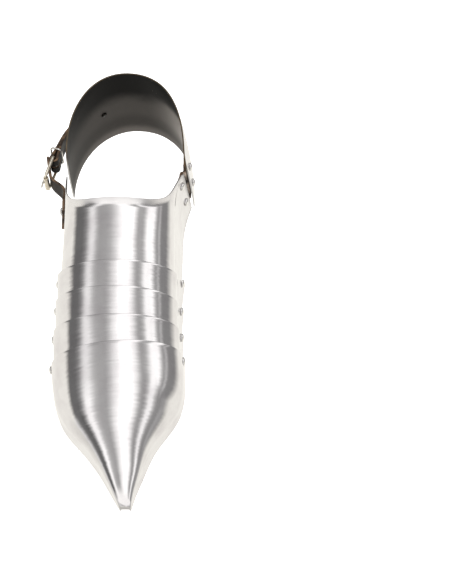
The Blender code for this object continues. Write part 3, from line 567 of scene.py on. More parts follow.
def plate_columns(plate, girths, steps):
    columns = []
    for girth in girths:

        def point_at(along, depth, girth=girth):
            return plate_point(plate, along, girth, depth)

        columns.append(sheet_column(point_at, plate.front(girth), plate.rear(girth), steps))
    return columns


def even(low, high, count):
    return [low + (high - low) * i / count for i in range(count + 1)]


ARCH_GIRTHS = even(-ARCH_SHARE, ARCH_SHARE, ARCH_SLICES)
WALL_GIRTHS = [ARCH_SHARE + (1.0 - ARCH_SHARE) * s for s in even(0.0, 1.0, WALL_SLICES)[1:]]
GIRTHS = [-g for g in reversed(WALL_GIRTHS)] + ARCH_GIRTHS + WALL_GIRTHS
INSTEP_STEPS = even(0.0, 0.86, 40) + even(0.86, 1.0, 22)[1:]

Plate = namedtuple("Plate", "front rear lift")
instep = Plate(lambda girth: joint_edge(JOINTS[0], girth, False), rim_edge, lip_lift)
dark_steel = dark_finish("dark_inside")


def plate_mesh(plate, steps, finish_name, seed):
    """A plate with its polished outside and its dark inside."""
    mesh = sheet_mesh(plate_columns(plate, GIRTHS, steps), len(steps))
    mesh.materials.append(steel_finish(finish_name, seed))
    mesh.materials.append(dark_steel)
    return mesh


instep_mesh = plate_mesh(instep, INSTEP_STEPS, "instep_steel", INSTEP_SEED)
slice_points = len(instep_mesh.vertices) // len(GIRTHS)
lip_shares = []
for girth in GIRTHS:
    front, rear = instep.front(girth), instep.rear(girth)
    before_rear = [front + (rear - front) * s - rear for s in INSTEP_STEPS]
    lip_shares += [smooth(before / (LIP_LENGTH * LIP_FADE) + 1.0) for before in before_rear]
    lip_shares += [1.0] * EDGE_FACES + [0.0] * (slice_points - len(INSTEP_STEPS) - EDGE_FACES)
instep_mesh.attributes.new("lip", "FLOAT", "POINT").data.foreach_set("value", lip_shares)
link_piece("instep_plate_skin", instep_mesh, "instep", "steel", "instep_plate")


# The three lames: narrow hoops of the same sheet that let the foot bend. Each one's rear edge lies
# over the plate behind it and its front edge lies under the plate ahead.
LAME_STEPS = even(0.0, 1.0, 30)
LAME_SEED = 1.7


def shingle_lift(along, rear, front):
    return SHINGLE_RISE * min(max((along - front) / (rear - front), 0.0), 1.0)


def lame_shape(behind, ahead):
    """The lame that runs from the joint ahead of it back to the joint behind it."""

    def front(girth):
        return joint_edge(ahead, girth, False)

    def rear(girth):
        return joint_edge(behind, girth, True)

    def lift(along, girth):
        return shingle_lift(along, rear(girth), front(girth))

    return Plate(front, rear, lift)


lames = [lame_shape(behind, ahead) for behind, ahead in zip(JOINTS, JOINTS[1:])]
for number, lame in enumerate(lames, 1):
    lame_mesh = plate_mesh(lame, LAME_STEPS, f"lame_steel_{number}", LAME_SEED * number)
    link_piece(f"lame_{number}_skin", lame_mesh, f"lame_{number}", "steel", f"lame_{number}")


# Toe cap: one long plate, raised and drawn down to a blunt point, lying over the foremost lame.
TOE_STEPS = even(0.0, 0.03, 8) + even(0.03, 0.2, 18)[1:] + even(0.2, 1.0, 50)[1:]
TOE_SEED = 9.1


def toe_lift(along, girth):
    rear = joint_edge(JOINTS[-1], girth, True)
    return shingle_lift(along, rear, rear - TOE_RISE_LENGTH)


toe = Plate(lambda girth: 0.0, lambda girth: joint_edge(JOINTS[-1], girth, True), toe_lift)
link_piece("toe_cap_skin", plate_mesh(toe, TOE_STEPS, "toe_steel", TOE_SEED), "toe", "steel", "toe_cap")


# Heel cup: one sheet bent in a U round the heel, its rim highest at the rear and rounded off at both
# front corners. Polished outside; inside it keeps the dark, oiled skin of the raw sheet, with painted
# shade and light by height and a painted sheen and highlight on its inner side.
CUP_CENTRE_ALONG = 0.300
CUP_SIZES = {
    "Depth": 0.072,
    "Floor Half Width": 0.0544,
    "Floor Shift": -0.0035,
    "Top Half Width": 0.0490,
    "Top Shift": -0.0080,
    "Top Lean": 0.0040,
    "Rear Height": 0.088,
    "Front Height": 0.070,
    "Rim Power": 1.6,
    "Bulge": 0.0015,
    "Corner Radius": 0.010,
    "Outer Leg": 0.003,
    "Inner Leg": 0.0118,
    "Outer Power": 2.0,
    "Inner Power": 2.2,
}
CUP_GRID = (301, 61)
CUP_HALF_GIRTH = 0.11
CUP_BEND_OUTER = 0.96
CUP_BEND_INNER = 0.90
CUP_EDGE_ROUND = 0.0004
CUP_EDGE_STEPS = 3
CUP_EDGE_ANGLE = 50.0
CUP_SEED = 4.3
CUP_CLOUD = (32.0, 3.0, 0.5)
CUP_DRIFT = 0.014
INNER_SIDE = (0.06, 0.52)
INNER_DROP = 0.016
OUTER_SIDE = (-0.15, -0.55)
OUTER_RISE = 0.006
OUTER_FADE = 0.45
# Painted shade and light inside the cup by height: a lighter band below the near-black rim zone, a darker dip
# lower down and a lighter foot.
PAINTED_LIGHT_BAND_ZONE = (0.064, 0.040)
PAINTED_SHADE_DIP_ZONES = ((0.032, 0.018), (0.004, 0.012))
PAINTED_FOOT_LIGHT_ZONE = (0.014, 0.001)
# Painted sheen and painted highlight on the cup's inner side, standing in for the floor's reflection at a
# grazing angle.
PAINTED_SHEEN_ZONES = ((0.060, 0.046), (0.002, 0.034))
PAINTED_HIGHLIGHT_ZONES = ((0.26, 0.60), (0.046, 0.006))
SCRATCH_NOISE = (1.0, 1.0, 0.4)
SCRATCH_ZONES = ((0.74, 0.78), (0.058, 0.074))
BARE_TONE = 0.003
PAINTED_LIGHT_BAND_TONE = 0.055
PAINTED_SHADE_DIP_TONE = 0.018
PAINTED_FOOT_LIGHT_TONE = 0.045
PAINTED_SHEEN_TONE = 0.30
PAINTED_HIGHLIGHT_TONE = 0.55
SCRATCH_TONE = 0.06
SCRATCH_WAY = (700.0, 90.0, 160.0)
SCRATCH_TURN = (0.5, 0.3, 0.8)
CUP_ROUGHNESS = 0.44
SHEEN_GLOSS = 0.22
CUP_TINT = (1.10, 0.90)
CUP_SHINE = 0.06
CUP_DEPTH = (0.2, 0.0001)
BROWNED = ((0.050, 0.040, 0.028, 1.0), (0.21, 0.165, 0.115, 1.0))
BROWN_CLOUD = (120.0, 3.0, 0.6)
BROWNED_FROM = (0.048, 0.062)
FILED_STEEL = (0.80, 0.79, 0.78, 1.0)
RIM_ROUGHNESS = 0.35


class Amount:
    """A number inside a node tree, so that a shape's rule can be written as plain sums."""

    def __init__(self, add, socket):
        self.add = add
        self.socket = socket

    def calc(self, operation, *others, turned=False):
        values = (*others, self) if turned else (self, *others)
        return Amount(self.add, worked(self.add, operation, *values))

    def __add__(self, other):
        return self.calc("ADD", other)

    def __sub__(self, other):
        return self.calc("SUBTRACT", other)

    def __rsub__(self, other):
        return self.calc("SUBTRACT", other, turned=True)

    def __mul__(self, other):
        return self.calc("MULTIPLY", other)

    def __truediv__(self, other):
        return self.calc("DIVIDE", other)

    def __rtruediv__(self, other):
        return self.calc("DIVIDE", other, turned=True)

    def __pow__(self, other):
        return self.calc("POWER", other)


def new_tree(name, sizes):
    """A geometry node tree whose inputs are a base, a finish and the named sizes."""
    tree = bpy.data.node_groups.new(name, "GeometryNodeTree")
    tree.interface.new_socket("Geometry", in_out="INPUT", socket_type="NodeSocketGeometry")
    tree.interface.new_socket("Finish", in_out="INPUT", socket_type="NodeSocketMaterial")
    for size in sizes:
        tree.interface.new_socket(size, in_out="INPUT", socket_type="NodeSocketFloat")
    tree.interface.new_socket("Geometry", in_out="OUTPUT", socket_type="NodeSocketGeometry")
    add = node_maker(tree)
    given = add("NodeGroupInput").outputs
    return tree, add, given, {size: Amount(add, given[size]) for size in sizes}


def end_tree(add, made, finish):
    """Close a tree: its shape is smoothed, made single and dressed in its finish."""
    smoothed = add("GeometryNodeSetShadeSmooth", Geometry=made)
    solid = add("GeometryNodeRealizeInstances", Geometry=smoothed)
    add("NodeGroupOutput", Geometry=add("GeometryNodeSetMaterial", Geometry=solid, Material=finish))


def plain_mesh(obj):
    """The evaluated mesh of a working object, which is then thrown away with its modifiers."""
    bpy.context.view_layer.update()
    mesh = bpy.data.meshes.new_from_object(obj.evaluated_get(bpy.context.evaluated_depsgraph_get()))
    bpy.data.objects.remove(obj)
    return mesh


def run_tree(tree, base, finish, sizes):
    obj = new_object("work", base)
    modifier = obj.modifiers.new("nodes", "NODES")
    modifier.node_group = tree
    for socket in tree.interface.items_tree:
        if socket.in_out == "INPUT" and socket.name == "Finish":
            modifier[socket.identifier] = finish
        elif socket.in_out == "INPUT" and socket.name in sizes:
            modifier[socket.identifier] = sizes[socket.name]
    return plain_mesh(obj)


def cup_inside_finish(name):
    """The raw inner skin of the cup: dark, with painted shade and light by height, a painted sheen and a
    painted highlight.
    """
    material, add, body = new_material(name)
    where = add("ShaderNodeSeparateXYZ", _0=add("ShaderNodeUVMap", {"uv_map": "sheet"}))
    level = Amount(add, where.outputs[0])
    round_heel = Amount(add, where.outputs[1]) / CUP_HALF_GIRTH
    drift = (Amount(add, noise(add, body, *CUP_CLOUD)) - 0.5) * CUP_DRIFT

    def between(value, ends):
        """0 before the first end, 1 past the second and smooth between, whichever is the greater."""
        settings = {"interpolation_type": "SMOOTHSTEP"}
        return Amount(add, add("ShaderNodeMapRange", settings, _0=value, _1=ends[0], _2=ends[1]).outputs[0])

    inner_side = between(round_heel, INNER_SIDE)
    outer_side = between(round_heel, OUTER_SIDE)
    from_top = level + drift - inner_side * INNER_DROP + outer_side * OUTER_RISE
    # Painted shade and light by height: near black under the rim, a lighter band below, a darker dip, then
    # lighter again at the foot.
    painted_light_band = between(from_top, PAINTED_LIGHT_BAND_ZONE) * (1.0 - outer_side * OUTER_FADE)
    painted_shade_dip = between(level, PAINTED_SHADE_DIP_ZONES[0]) * between(level, PAINTED_SHADE_DIP_ZONES[1])
    painted_foot_light = between(level, PAINTED_FOOT_LIGHT_ZONE)
    # Painted sheen and painted highlight on the inner side, where the wall would reflect the bright floor at
    # a grazing angle.
    painted_sheen = inner_side * between(from_top, PAINTED_SHEEN_ZONES[0]) * between(level, PAINTED_SHEEN_ZONES[1])
    painted_highlight = between(round_heel, PAINTED_HIGHLIGHT_ZONES[0]) * between(level, PAINTED_HIGHLIGHT_ZONES[1])
    scratch_way = add("ShaderNodeMapping", Vector=body, Scale=SCRATCH_WAY, Rotation=SCRATCH_TURN)
    scratch = Amount(add, noise(add, scratch_way, *SCRATCH_NOISE))
    lines = between(scratch, SCRATCH_ZONES[0]) * between(level, SCRATCH_ZONES[1])
    tone = painted_light_band * PAINTED_LIGHT_BAND_TONE - painted_shade_dip * PAINTED_SHADE_DIP_TONE * painted_light_band + painted_foot_light * PAINTED_FOOT_LIGHT_TONE
    tone = tone + painted_sheen * PAINTED_SHEEN_TONE + painted_highlight * PAINTED_HIGHLIGHT_TONE + BARE_TONE + lines * SCRATCH_TONE
    surface(
        add,
        Base_Color=add("ShaderNodeCombineColor", _0=tone * CUP_TINT[0], _1=tone, _2=tone * CUP_TINT[1]),
        Roughness=CUP_ROUGHNESS - painted_sheen * SHEEN_GLOSS,
        Specular_IOR_Level=CUP_SHINE,
        Normal=bumped(add, noise(add, body, *SCALE_GRAIN), *CUP_DEPTH),
    )
    return material


def cup_rim_finish(name):
    """The cup's cut edge: browned with old oil along the rim, bright where it was filed at the front."""
    material, add, body = new_material(name)
    old = ramped(add, add("ShaderNodeSeparateXYZ", _0=body).outputs[2], BROWNED_FROM)
    brown = blended(add, noise(add, body, *BROWN_CLOUD), *BROWNED)
    surface(add, Base_Color=blended(add, old, FILED_STEEL, brown), Metallic=1.0, Roughness=RIM_ROUGHNESS)
    return material


cup_tree, add, given, size = new_tree("heel_cup_rule", CUP_SIZES)


def graded(first, second, share):
    """A size that passes from one named size to another."""
    return size[first] + (size[second] - size[first]) * share


grid = add("GeometryNodeMeshGrid", Size_X=2.0, Size_Y=1.0, Vertices_X=CUP_GRID[0], Vertices_Y=CUP_GRID[1])
marks = add("ShaderNodeSeparateXYZ", _0=add("GeometryNodeInputPosition"))
mark = Amount(add, marks.outputs[0])
up = Amount(add, marks.outputs[1]) + 0.5
side = mark.calc("SIGN")
inner = mark.calc("GREATER_THAN", 0.0)
bend_share = inner * (CUP_BEND_INNER - CUP_BEND_OUTER) + CUP_BEND_OUTER
leg_length = graded("Outer Leg", "Inner Leg", inner)
power = 2.0 / graded("Outer Power", "Inner Power", inner)
run = 1.0 - (1.0 - mark.calc("ABSOLUTE")) ** 2.0
turned = (run / bend_share).calc("MINIMUM", 1.0) * (math.pi / 2.0)
leg = ((run - bend_share) / (1.0 - bend_share)).calc("MAXIMUM", 0.0) * leg_length
sine = turned.calc("SINE").calc("MAXIMUM", 0.0) ** power
cosine = turned.calc("COSINE").calc("MAXIMUM", 0.0) ** power
from_edge = cosine * size["Depth"] + leg_length - leg
forward = 1.0 - (from_edge / size["Depth"]).calc("MINIMUM", 1.0)
radius = size["Corner Radius"]
inside = (radius - from_edge).calc("MAXIMUM", 0.0)
corner = radius - (radius**2.0 - inside**2.0).calc("MAXIMUM", 0.0).calc("SQRT")
rim = graded("Rear Height", "Front Height", forward ** size["Rim Power"]) - corner
level = rim * up
rise = level / size["Rear Height"]
bulge = (rise * math.pi).calc("SINE") * size["Bulge"]
half = graded("Floor Half Width", "Top Half Width", rise) + bulge
shift = graded("Floor Shift", "Top Shift", rise)
deep = size["Depth"] - size["Top Lean"] * rise + bulge
across = shift + side * sine * half + TOE_TIP.x
back = cosine * deep - leg + (CUP_CENTRE_ALONG + TOE_TIP.y)
place = add("ShaderNodeCombineXYZ", _0=across, _1=back, _2=level)
spread = add("ShaderNodeCombineXYZ", _0=level, _1=mark * CUP_HALF_GIRTH)
per_corner = {"data_type": "FLOAT2", "domain": "CORNER"}
sheet = add("GeometryNodeStoreNamedAttribute", per_corner, Geometry=grid, Name="sheet", Value=spread)
bent = add("GeometryNodeSetPosition", Geometry=sheet, Position=place)
end_tree(add, add("GeometryNodeFlipFaces", Mesh=bent), given["Finish"])

cup_base = bpy.data.meshes.new("cup_base")
cup_skin = run_tree(cup_tree, cup_base, steel_finish("cup_steel", CUP_SEED), CUP_SIZES)
cup_skin.materials.append(cup_inside_finish("dark_cup_inside"))
cup_skin.materials.append(cup_rim_finish("browned_cup_rim"))
cup_work = new_object("work", cup_skin)
wall = cup_work.modifiers.new("wall", "SOLIDIFY")
wall.thickness = STEEL
wall.offset = -1.0
wall.material_offset = 1
wall.material_offset_rim = 2
edges = cup_work.modifiers.new("edges", "BEVEL")
edges.width = CUP_EDGE_ROUND
edges.segments = CUP_EDGE_STEPS
edges.limit_method = "ANGLE"
edges.angle_limit = math.radians(CUP_EDGE_ANGLE)
link_piece("heel_cup_skin", plain_mesh(cup_work), "instep", "steel", "heel_cup")


# Hinge leather: a patch of harness leather inside the plates, joining the cup to the instep plate on
# the inner side. Dyed black on its faces, with a painted pale sheen in patches on its grain face; its cut
# edges keep the brown of the raw hide.
LEATHER = 0.0024
HINGE_FRONT_ALONG = 0.270
HINGE_REAR_ALONG = 0.308
HINGE_BOTTOM = 0.012
HINGE_TOP = 0.054
HINGE_SLACK = 0.0009
HINGE_BRIDGE = 0.002
HINGE_DIP = 0.0040
LEATHER_CORNER = 0.0005
DYED_CORNER = 0.0001
TURN_SEARCHES = 40
PROBE_TURN = 0.5
BLACK_DYE = ((0.0045, 0.0035, 0.0028, 1.0), (0.015, 0.0115, 0.009, 1.0))
# A pale tan painted into the hinge's black face in cloudy patches: a painted sheen for the light its grain
# reflects at a grazing angle.
PAINTED_PALE_SHEEN = (0.42, 0.35, 0.29, 1.0)
RUBBED_HIDE = (0.15, 0.085, 0.050, 1.0)
RAW_HIDE = ((0.090, 0.052, 0.032, 1.0), (0.280, 0.175, 0.100, 1.0))
DYED_HIDE = (0.030, 0.020, 0.014, 1.0)
DYE_PATCHES = (130.0, 4.0, 0.6)
DYE_RANGE = (0.38, 0.62)
FIBRES = (1500.0, 4.0, 0.7)
FIBRE_DEPTH = (0.6, 0.00015)
RAW_ROUGHNESS = 0.85
WEAR_CLOUD = (70.0, 3.0, 0.6)
WEAR_DRIFT = 0.35
WEAR_RANGE = (1.08, 1.22)
PAINTED_PALE_SHEEN_RANGE = (0.38, 0.60)
PEBBLE_SCALE = 1100.0
PEBBLE_SMOOTHNESS = 0.5
PEBBLE_DEPTH = (0.35, 0.00012)
CREASES = (190.0, 5.0, 0.65)
CREASE_DEPTH = (0.5, 0.0002)
LEATHER_ROUGHNESS = (0.40, 0.58)
LEATHER_SHINE = 0.16
HINGE_WEAR = 0.9
HINGE_PAINTED_PALE_SHEEN = 0.75
HINGE_MARKS = 60
HINGE_ROWS = 40


def cup_plan(turn, leg, level):
    """A point of the cup's outer face: turn in degrees from the rear, then leg straight forward."""
    rise = level / CUP_SIZES["Rear Height"]
    half = CUP_SIZES["Floor Half Width"] * (1.0 - rise) + CUP_SIZES["Top Half Width"] * rise
    shift = CUP_SIZES["Floor Shift"] * (1.0 - rise) + CUP_SIZES["Top Shift"] * rise
    bulge = CUP_SIZES["Bulge"] * math.sin(math.pi * rise)
    power = CUP_SIZES["Outer Power"] if turn < 0 else CUP_SIZES["Inner Power"]
    angle = math.radians(abs(turn))
    across = math.copysign(math.sin(angle) ** (2.0 / power), turn) * (half + bulge)
    depth = CUP_SIZES["Depth"] - CUP_SIZES["Top Lean"] * rise + bulge
    back = max(math.cos(angle), 0.0) ** (2.0 / power) * depth
    return Vector((shift + across, CUP_CENTRE_ALONG + back - leg, level))


def cup_normal(turn, leg, level):
    low, high = max(turn - PROBE_TURN, -90.0), min(turn + PROBE_TURN, 90.0)
    round_heel = cup_plan(high, 0.0, level) - cup_plan(low, 0.0, level)
    upward = cup_plan(turn, leg, level + PROBE_LENGTH) - cup_plan(turn, leg, level - PROBE_LENGTH)
    return upward.cross(round_heel).normalized()


def cup_turn_at(along, side):
    """The cup's turn and leg where its floor outline is at a given along, on one side."""
    if along <= CUP_CENTRE_ALONG:
        return side * 90.0, CUP_CENTRE_ALONG - along
    low, high = 0.0, 90.0
    for _ in range(TURN_SEARCHES):
        middle = (low + high) / 2.0
        if cup_plan(side * middle, 0.0, 0.0).y > along:
            low = middle
        else:
            high = middle
    return side * low, 0.0


def hinge_face(along, level, depth):
    """A point of the leather, depth inside the plates' outer faces, bridging the gap between them."""

    def on_instep(at):
        girth = girth_at_level(at, level, 1.0)
        return tunnel_point(at, girth) - tunnel_normal(at, girth) * depth

    def on_cup(at):
        turn, leg = cup_turn_at(at, 1.0)
        return cup_plan(turn, leg, level) - cup_normal(turn, leg, level) * depth

    cup_edge = CUP_CENTRE_ALONG - CUP_SIZES["Inner Leg"]
    start = HORN_ALONG_INNER - HINGE_BRIDGE
    end = cup_edge + HINGE_BRIDGE
    if along <= start:
        return on_instep(along)
    if along >= end:
        return on_cup(along)
    share = smooth((along - start) / (end - start))
    return on_instep(min(along, HORN_ALONG_INNER)) * (1.0 - share) + on_cup(max(along, cup_edge)) * share


def hide_section(half, thickness, steps):
    """A strap's section, (across, depth, face): grain side, an edge, flesh side and the other edge."""
    flat = half - LEATHER_CORNER
    near = [(flat + out, depth, 0 if depth < DYED_CORNER else 1) for out, depth in rounding(LEATHER_CORNER)]
    far = [(a, thickness - d, 1) for a, d, face in reversed(near)]
    grain = [(x, 0.0, 0) for x in even(-flat, flat, steps)]
    flesh = [(-a, thickness, 2) for a, d, face in grain]
    edge = near + far
    return grain + edge + flesh + [(-a, thickness - d, 1) for a, d, face in edge]


def hide_mesh(point_at, marks, half_at, thickness, steps):
    """A strip of leather along marks; point_at gives a place from (mark, across, depth)."""
    sections = [hide_section(half_at(mark), thickness, steps) for mark in marks]
    columns = []
    for mark, rows in zip(marks, sections):
        columns.append([point_at(mark, across, depth) for across, depth, face in rows])
    run = running([column[steps // 2] for column in columns])
    uvs = [[(along, across) for across, depth, face in rows] for along, rows in zip(run, sections)]
    faces = [face for across, depth, face in sections[0]]
    return lofted(columns, "hide", uvs, lambda j, k: 1 if faces[j] + faces[k] > 0 else 0, 1)


def leather_finish(name, half, wear, faded=0.0):
    """Black harness leather: pebbled grain, fine creases, brown rubbed through near its edges, painted pale
    sheen.
    """
    material, add, body = new_material(name)
    hide = add("ShaderNodeSeparateXYZ", _0=add("ShaderNodeUVMap", {"uv_map": "hide"}))
    pebble = add("ShaderNodeTexVoronoi", {"feature": "SMOOTH_F1"}, Vector=body, Scale=PEBBLE_SCALE)
    pebble.inputs["Smoothness"].default_value = PEBBLE_SMOOTHNESS
    cloud = noise(add, body, *WEAR_CLOUD)
    off_centre = Amount(add, hide.outputs[1]).calc("ABSOLUTE") / half
    bare = ramped(add, off_centre + Amount(add, cloud) * WEAR_DRIFT, WEAR_RANGE, (0.0, wear))
    patch = ramped(add, cloud, PATCH_RANGE)
    black = blended(add, patch, *BLACK_DYE)
    # The black dye, with a painted pale sheen mixed in by cloudy patches.
    dye_and_painted_sheen = blended(add, ramped(add, cloud, PAINTED_PALE_SHEEN_RANGE, (0.0, faded)), black, PAINTED_PALE_SHEEN)
    grain = bumped(add, pebble.outputs["Distance"], *PEBBLE_DEPTH)
    surface(
        add,
        Base_Color=blended(add, bare, dye_and_painted_sheen, RUBBED_HIDE),
        Roughness=ramped(add, patch, (0.0, 1.0), LEATHER_ROUGHNESS),
        Specular_IOR_Level=LEATHER_SHINE,
        Normal=bumped(add, noise(add, body, *CREASES), *CREASE_DEPTH, Normal=grain),
    )
    return material


def raw_hide_finish(name):
    """Cut edges and flesh side: rusty brown, fibrous, darkened by dye in patches."""
    material, add, body = new_material(name)
    fibre = noise(add, body, *FIBRES)
    dyed = ramped(add, noise(add, body, *DYE_PATCHES), DYE_RANGE)
    colour = blended(add, dyed, DYED_HIDE, blended(add, fibre, *RAW_HIDE))
    surface(add, Base_Color=colour, Roughness=RAW_ROUGHNESS, Normal=bumped(add, fibre, *FIBRE_DEPTH))
    return material


def hinge_half_at(along):
    """Half of the leather's height, which is cut lower where it runs under the instep's rim."""
    return hinge_half - HINGE_DIP / 2.0 * smooth((HORN_ALONG_INNER - along) / HINGE_BRIDGE)


def hinge_at(along, across, depth):
    level = HINGE_BOTTOM + hinge_half_at(along) + across
    return hinge_face(along, level, STEEL + HINGE_SLACK + depth) + TOE_TIP


raw_hide = raw_hide_finish("raw_hide")
hinge_half = (HINGE_TOP - HINGE_BOTTOM) / 2.0
hinge_marks = even(HINGE_FRONT_ALONG, HINGE_REAR_ALONG, HINGE_MARKS)
hinge_mesh = hide_mesh(hinge_at, hinge_marks, hinge_half_at, LEATHER, HINGE_ROWS)
hinge_mesh.materials.append(leather_finish("hinge_black", hinge_half, HINGE_WEAR, HINGE_PAINTED_PALE_SHEEN))
hinge_mesh.materials.append(raw_hide)
link_piece("hinge_leather_skin", hinge_mesh, "instep", "leather", "hinge_leather")


# Buckle: a frame of bent wire with a loose brass roller on its front bar and a prong hooked round its
# heel bar. Nickel-plated and tarnished; the wire is round and the prong thins towards its tip.
STRAP_WIDTH = 0.018
STRAP_LEVEL = 0.037
BUCKLE_LENGTH = 0.0215
BUCKLE_WIRE = 0.0013
BUCKLE_CORNER_RADIUS = 0.0030
BUCKLE_MARGIN = 0.0012
HEEL_BAR_ALONG = 0.3085
HEEL_BAR_SIDE = -0.0712
ROLLER_BAR_SIDE = -0.0770
ROLLER_RADIUS = 0.0023
PRONG_RADIUS = 0.0009
PRONG_OVERHANG = 0.0060
FIT = 0.0003
LOOP_STEPS = 10
WIRE_SIDES = 20
HOOK_START = -150.0
HOOK_STEPS = 24
PRONG_STEPS = 14
PRONG_TIP = ((0.25, 0.97), (0.5, 0.9), (0.75, 0.82), (0.9, 0.7), (0.97, 0.5), (1.0, 0.2))
PRONG_DIP = 0.1
ROLLER_SIDES = 72
ROLLER_EDGE = 0.0003
ROLLER_SOFTNESS = 0.0001
ROLLER_SEAM_DEPTH = 0.00022
ROLLER_SEAM_ANGLE = 330.0
ROLLER_SEAM_WIDTH = 4.0
TAIL_BLACK = (0.022, 0.020, 0.018, 1.0)
WORN_NICKEL = ((0.82, 0.77, 0.66, 1.0), (0.46, 0.38, 0.27, 1.0), 0.38)
BRIGHT_NICKEL = ((0.80, 0.79, 0.76, 1.0), (0.42, 0.37, 0.30, 1.0), 0.5)
PALE_BRASS = ((0.88, 0.81, 0.68, 1.0), (0.58, 0.46, 0.32, 1.0), 0.40)
TARNISH = (160.0, 3.0, 0.55)
TARNISH_RANGE = (0.45, 0.68)
SPOTS = (1400.0, 2.0, 0.6)
SPOT_DEPTH = (0.1, 0.00002)
PLATED_ROUGHNESS = (0.20, 0.48)

heel_bar = Vector((HEEL_BAR_SIDE, HEEL_BAR_ALONG, STRAP_LEVEL))
bar_drop = HEEL_BAR_SIDE - ROLLER_BAR_SIDE
bar_reach = math.sqrt(BUCKLE_LENGTH**2 - bar_drop**2)
roller_bar = Vector((ROLLER_BAR_SIDE, HEEL_BAR_ALONG - bar_reach, STRAP_LEVEL))
buckle_run = (heel_bar - roller_bar).normalized()
upright = Vector((0.0, 0.0, 1.0))
buckle_out = upright.cross(buckle_run)
frame_half_rise = STRAP_WIDTH / 2.0 + BUCKLE_MARGIN + BUCKLE_WIRE


def rounded_loop(centre, run, rise, half_run, half_rise, corner):
    """A closed rounded rectangle of points about a centre, in the plane of two directions."""
    points = []
    for quarter, (sx, sy) in enumerate(((1, 1), (-1, 1), (-1, -1), (1, -1))):
        for angle in even(0.0, 90.0, LOOP_STEPS):
            a = math.radians(angle + 90.0 * quarter)
            x = sx * (half_run - corner) + corner * math.cos(a)
            y = sy * (half_rise - corner) + corner * math.sin(a)
            points.append(centre + run * x + rise * y)
    return points


def path_mesh(points, radii, closed):
    """A bare line of points that carries the wire's thickness for the wire tree."""
    links = [(i, i + 1) for i in range(len(points) - 1)]
    if closed:
        links.append((len(points) - 1, 0))
    mesh = bpy.data.meshes.new("line")
    mesh.from_pydata([p + TOE_TIP for p in points], links, [])
    mesh.attributes.new("gauge", "FLOAT", "POINT").data.foreach_set("value", radii)
    return mesh


WIRE_SIZES = {"Thickness": 1.0}
wire_tree, add, given, size = new_tree("bent_wire", WIRE_SIZES)
line = add("GeometryNodeMeshToCurve", Mesh=given["Geometry"])
gauge = add("GeometryNodeInputNamedAttribute", {"data_type": "FLOAT"}, Name="gauge")
section = add("GeometryNodeCurvePrimitiveCircle", Resolution=WIRE_SIDES, Radius=given["Thickness"])
wire = add("GeometryNodeCurveToMesh", Curve=line, Profile_Curve=section, Scale=gauge, Fill_Caps=True)
end_tree(add, wire, given["Finish"])


def wire_piece(name, points, radii, closed, finish):
    """Bend a wire along its points and put it in place of its node."""
    mesh = run_tree(wire_tree, path_mesh(points, radii, closed), finish, WIRE_SIZES)
    link_piece(f"{name}_skin", mesh, "instep", "buckle_metal", name)


def plated_finish(name, bright, tarnish, wear, dark_part=None):
    """Metal that has been handled: bright where it rubs, dulled elsewhere, and black on its dark part."""
    material, add, body = new_material(name)
    dull = ramped(add, noise(add, body, *TARNISH), TARNISH_RANGE, (0.0, wear))
    colour = blended(add, dull, bright, tarnish)
    if dark_part:
        part = add("ShaderNodeAttribute", {"attribute_name": dark_part}).outputs["Fac"]
        colour = blended(add, part, colour, TAIL_BLACK)
    rough = ramped(add, dull, (0.0, 1.0), PLATED_ROUGHNESS)
    spots = bumped(add, noise(add, body, *SPOTS), *SPOT_DEPTH)
    surface(add, Base_Color=colour, Metallic=1.0, Roughness=rough, Normal=spots)
    return material


nickel = plated_finish("worn_nickel", *WORN_NICKEL)
frame_centre = (heel_bar + roller_bar) / 2.0
frame_half_run = BUCKLE_LENGTH / 2.0
frame_path = rounded_loop(
    frame_centre, buckle_run, upright, frame_half_run, frame_half_rise, BUCKLE_CORNER_RADIUS
)
wire_piece("buckle_frame", frame_path, [BUCKLE_WIRE] * len(frame_path), True, nickel)

hook = BUCKLE_WIRE + FIT + PRONG_RADIUS
prong_path = []
for angle in even(HOOK_START, 90.0, HOOK_STEPS):
    a = math.radians(angle)
    prong_path.append(heel_bar + buckle_run * math.cos(a) * hook + buckle_out * math.sin(a) * hook)
prong_rest = roller_bar + buckle_out * (ROLLER_RADIUS + PRONG_RADIUS + FIT)
prong_tip = prong_rest - buckle_run * PRONG_OVERHANG - buckle_out * (PRONG_OVERHANG * PRONG_DIP)
prong_path += [prong_path[-1].lerp(prong_rest, share) for share in even(0.0, 1.0, PRONG_STEPS)[1:]]
prong_radii = [PRONG_RADIUS] * len(prong_path) + [PRONG_RADIUS * gauge for share, gauge in PRONG_TIP]
prong_path += [prong_rest.lerp(prong_tip, share) for share, gauge in PRONG_TIP]
bright_nickel = plated_finish("bright_nickel", *BRIGHT_NICKEL)
wire_piece("buckle_prong", prong_path, prong_radii, False, bright_nickel)

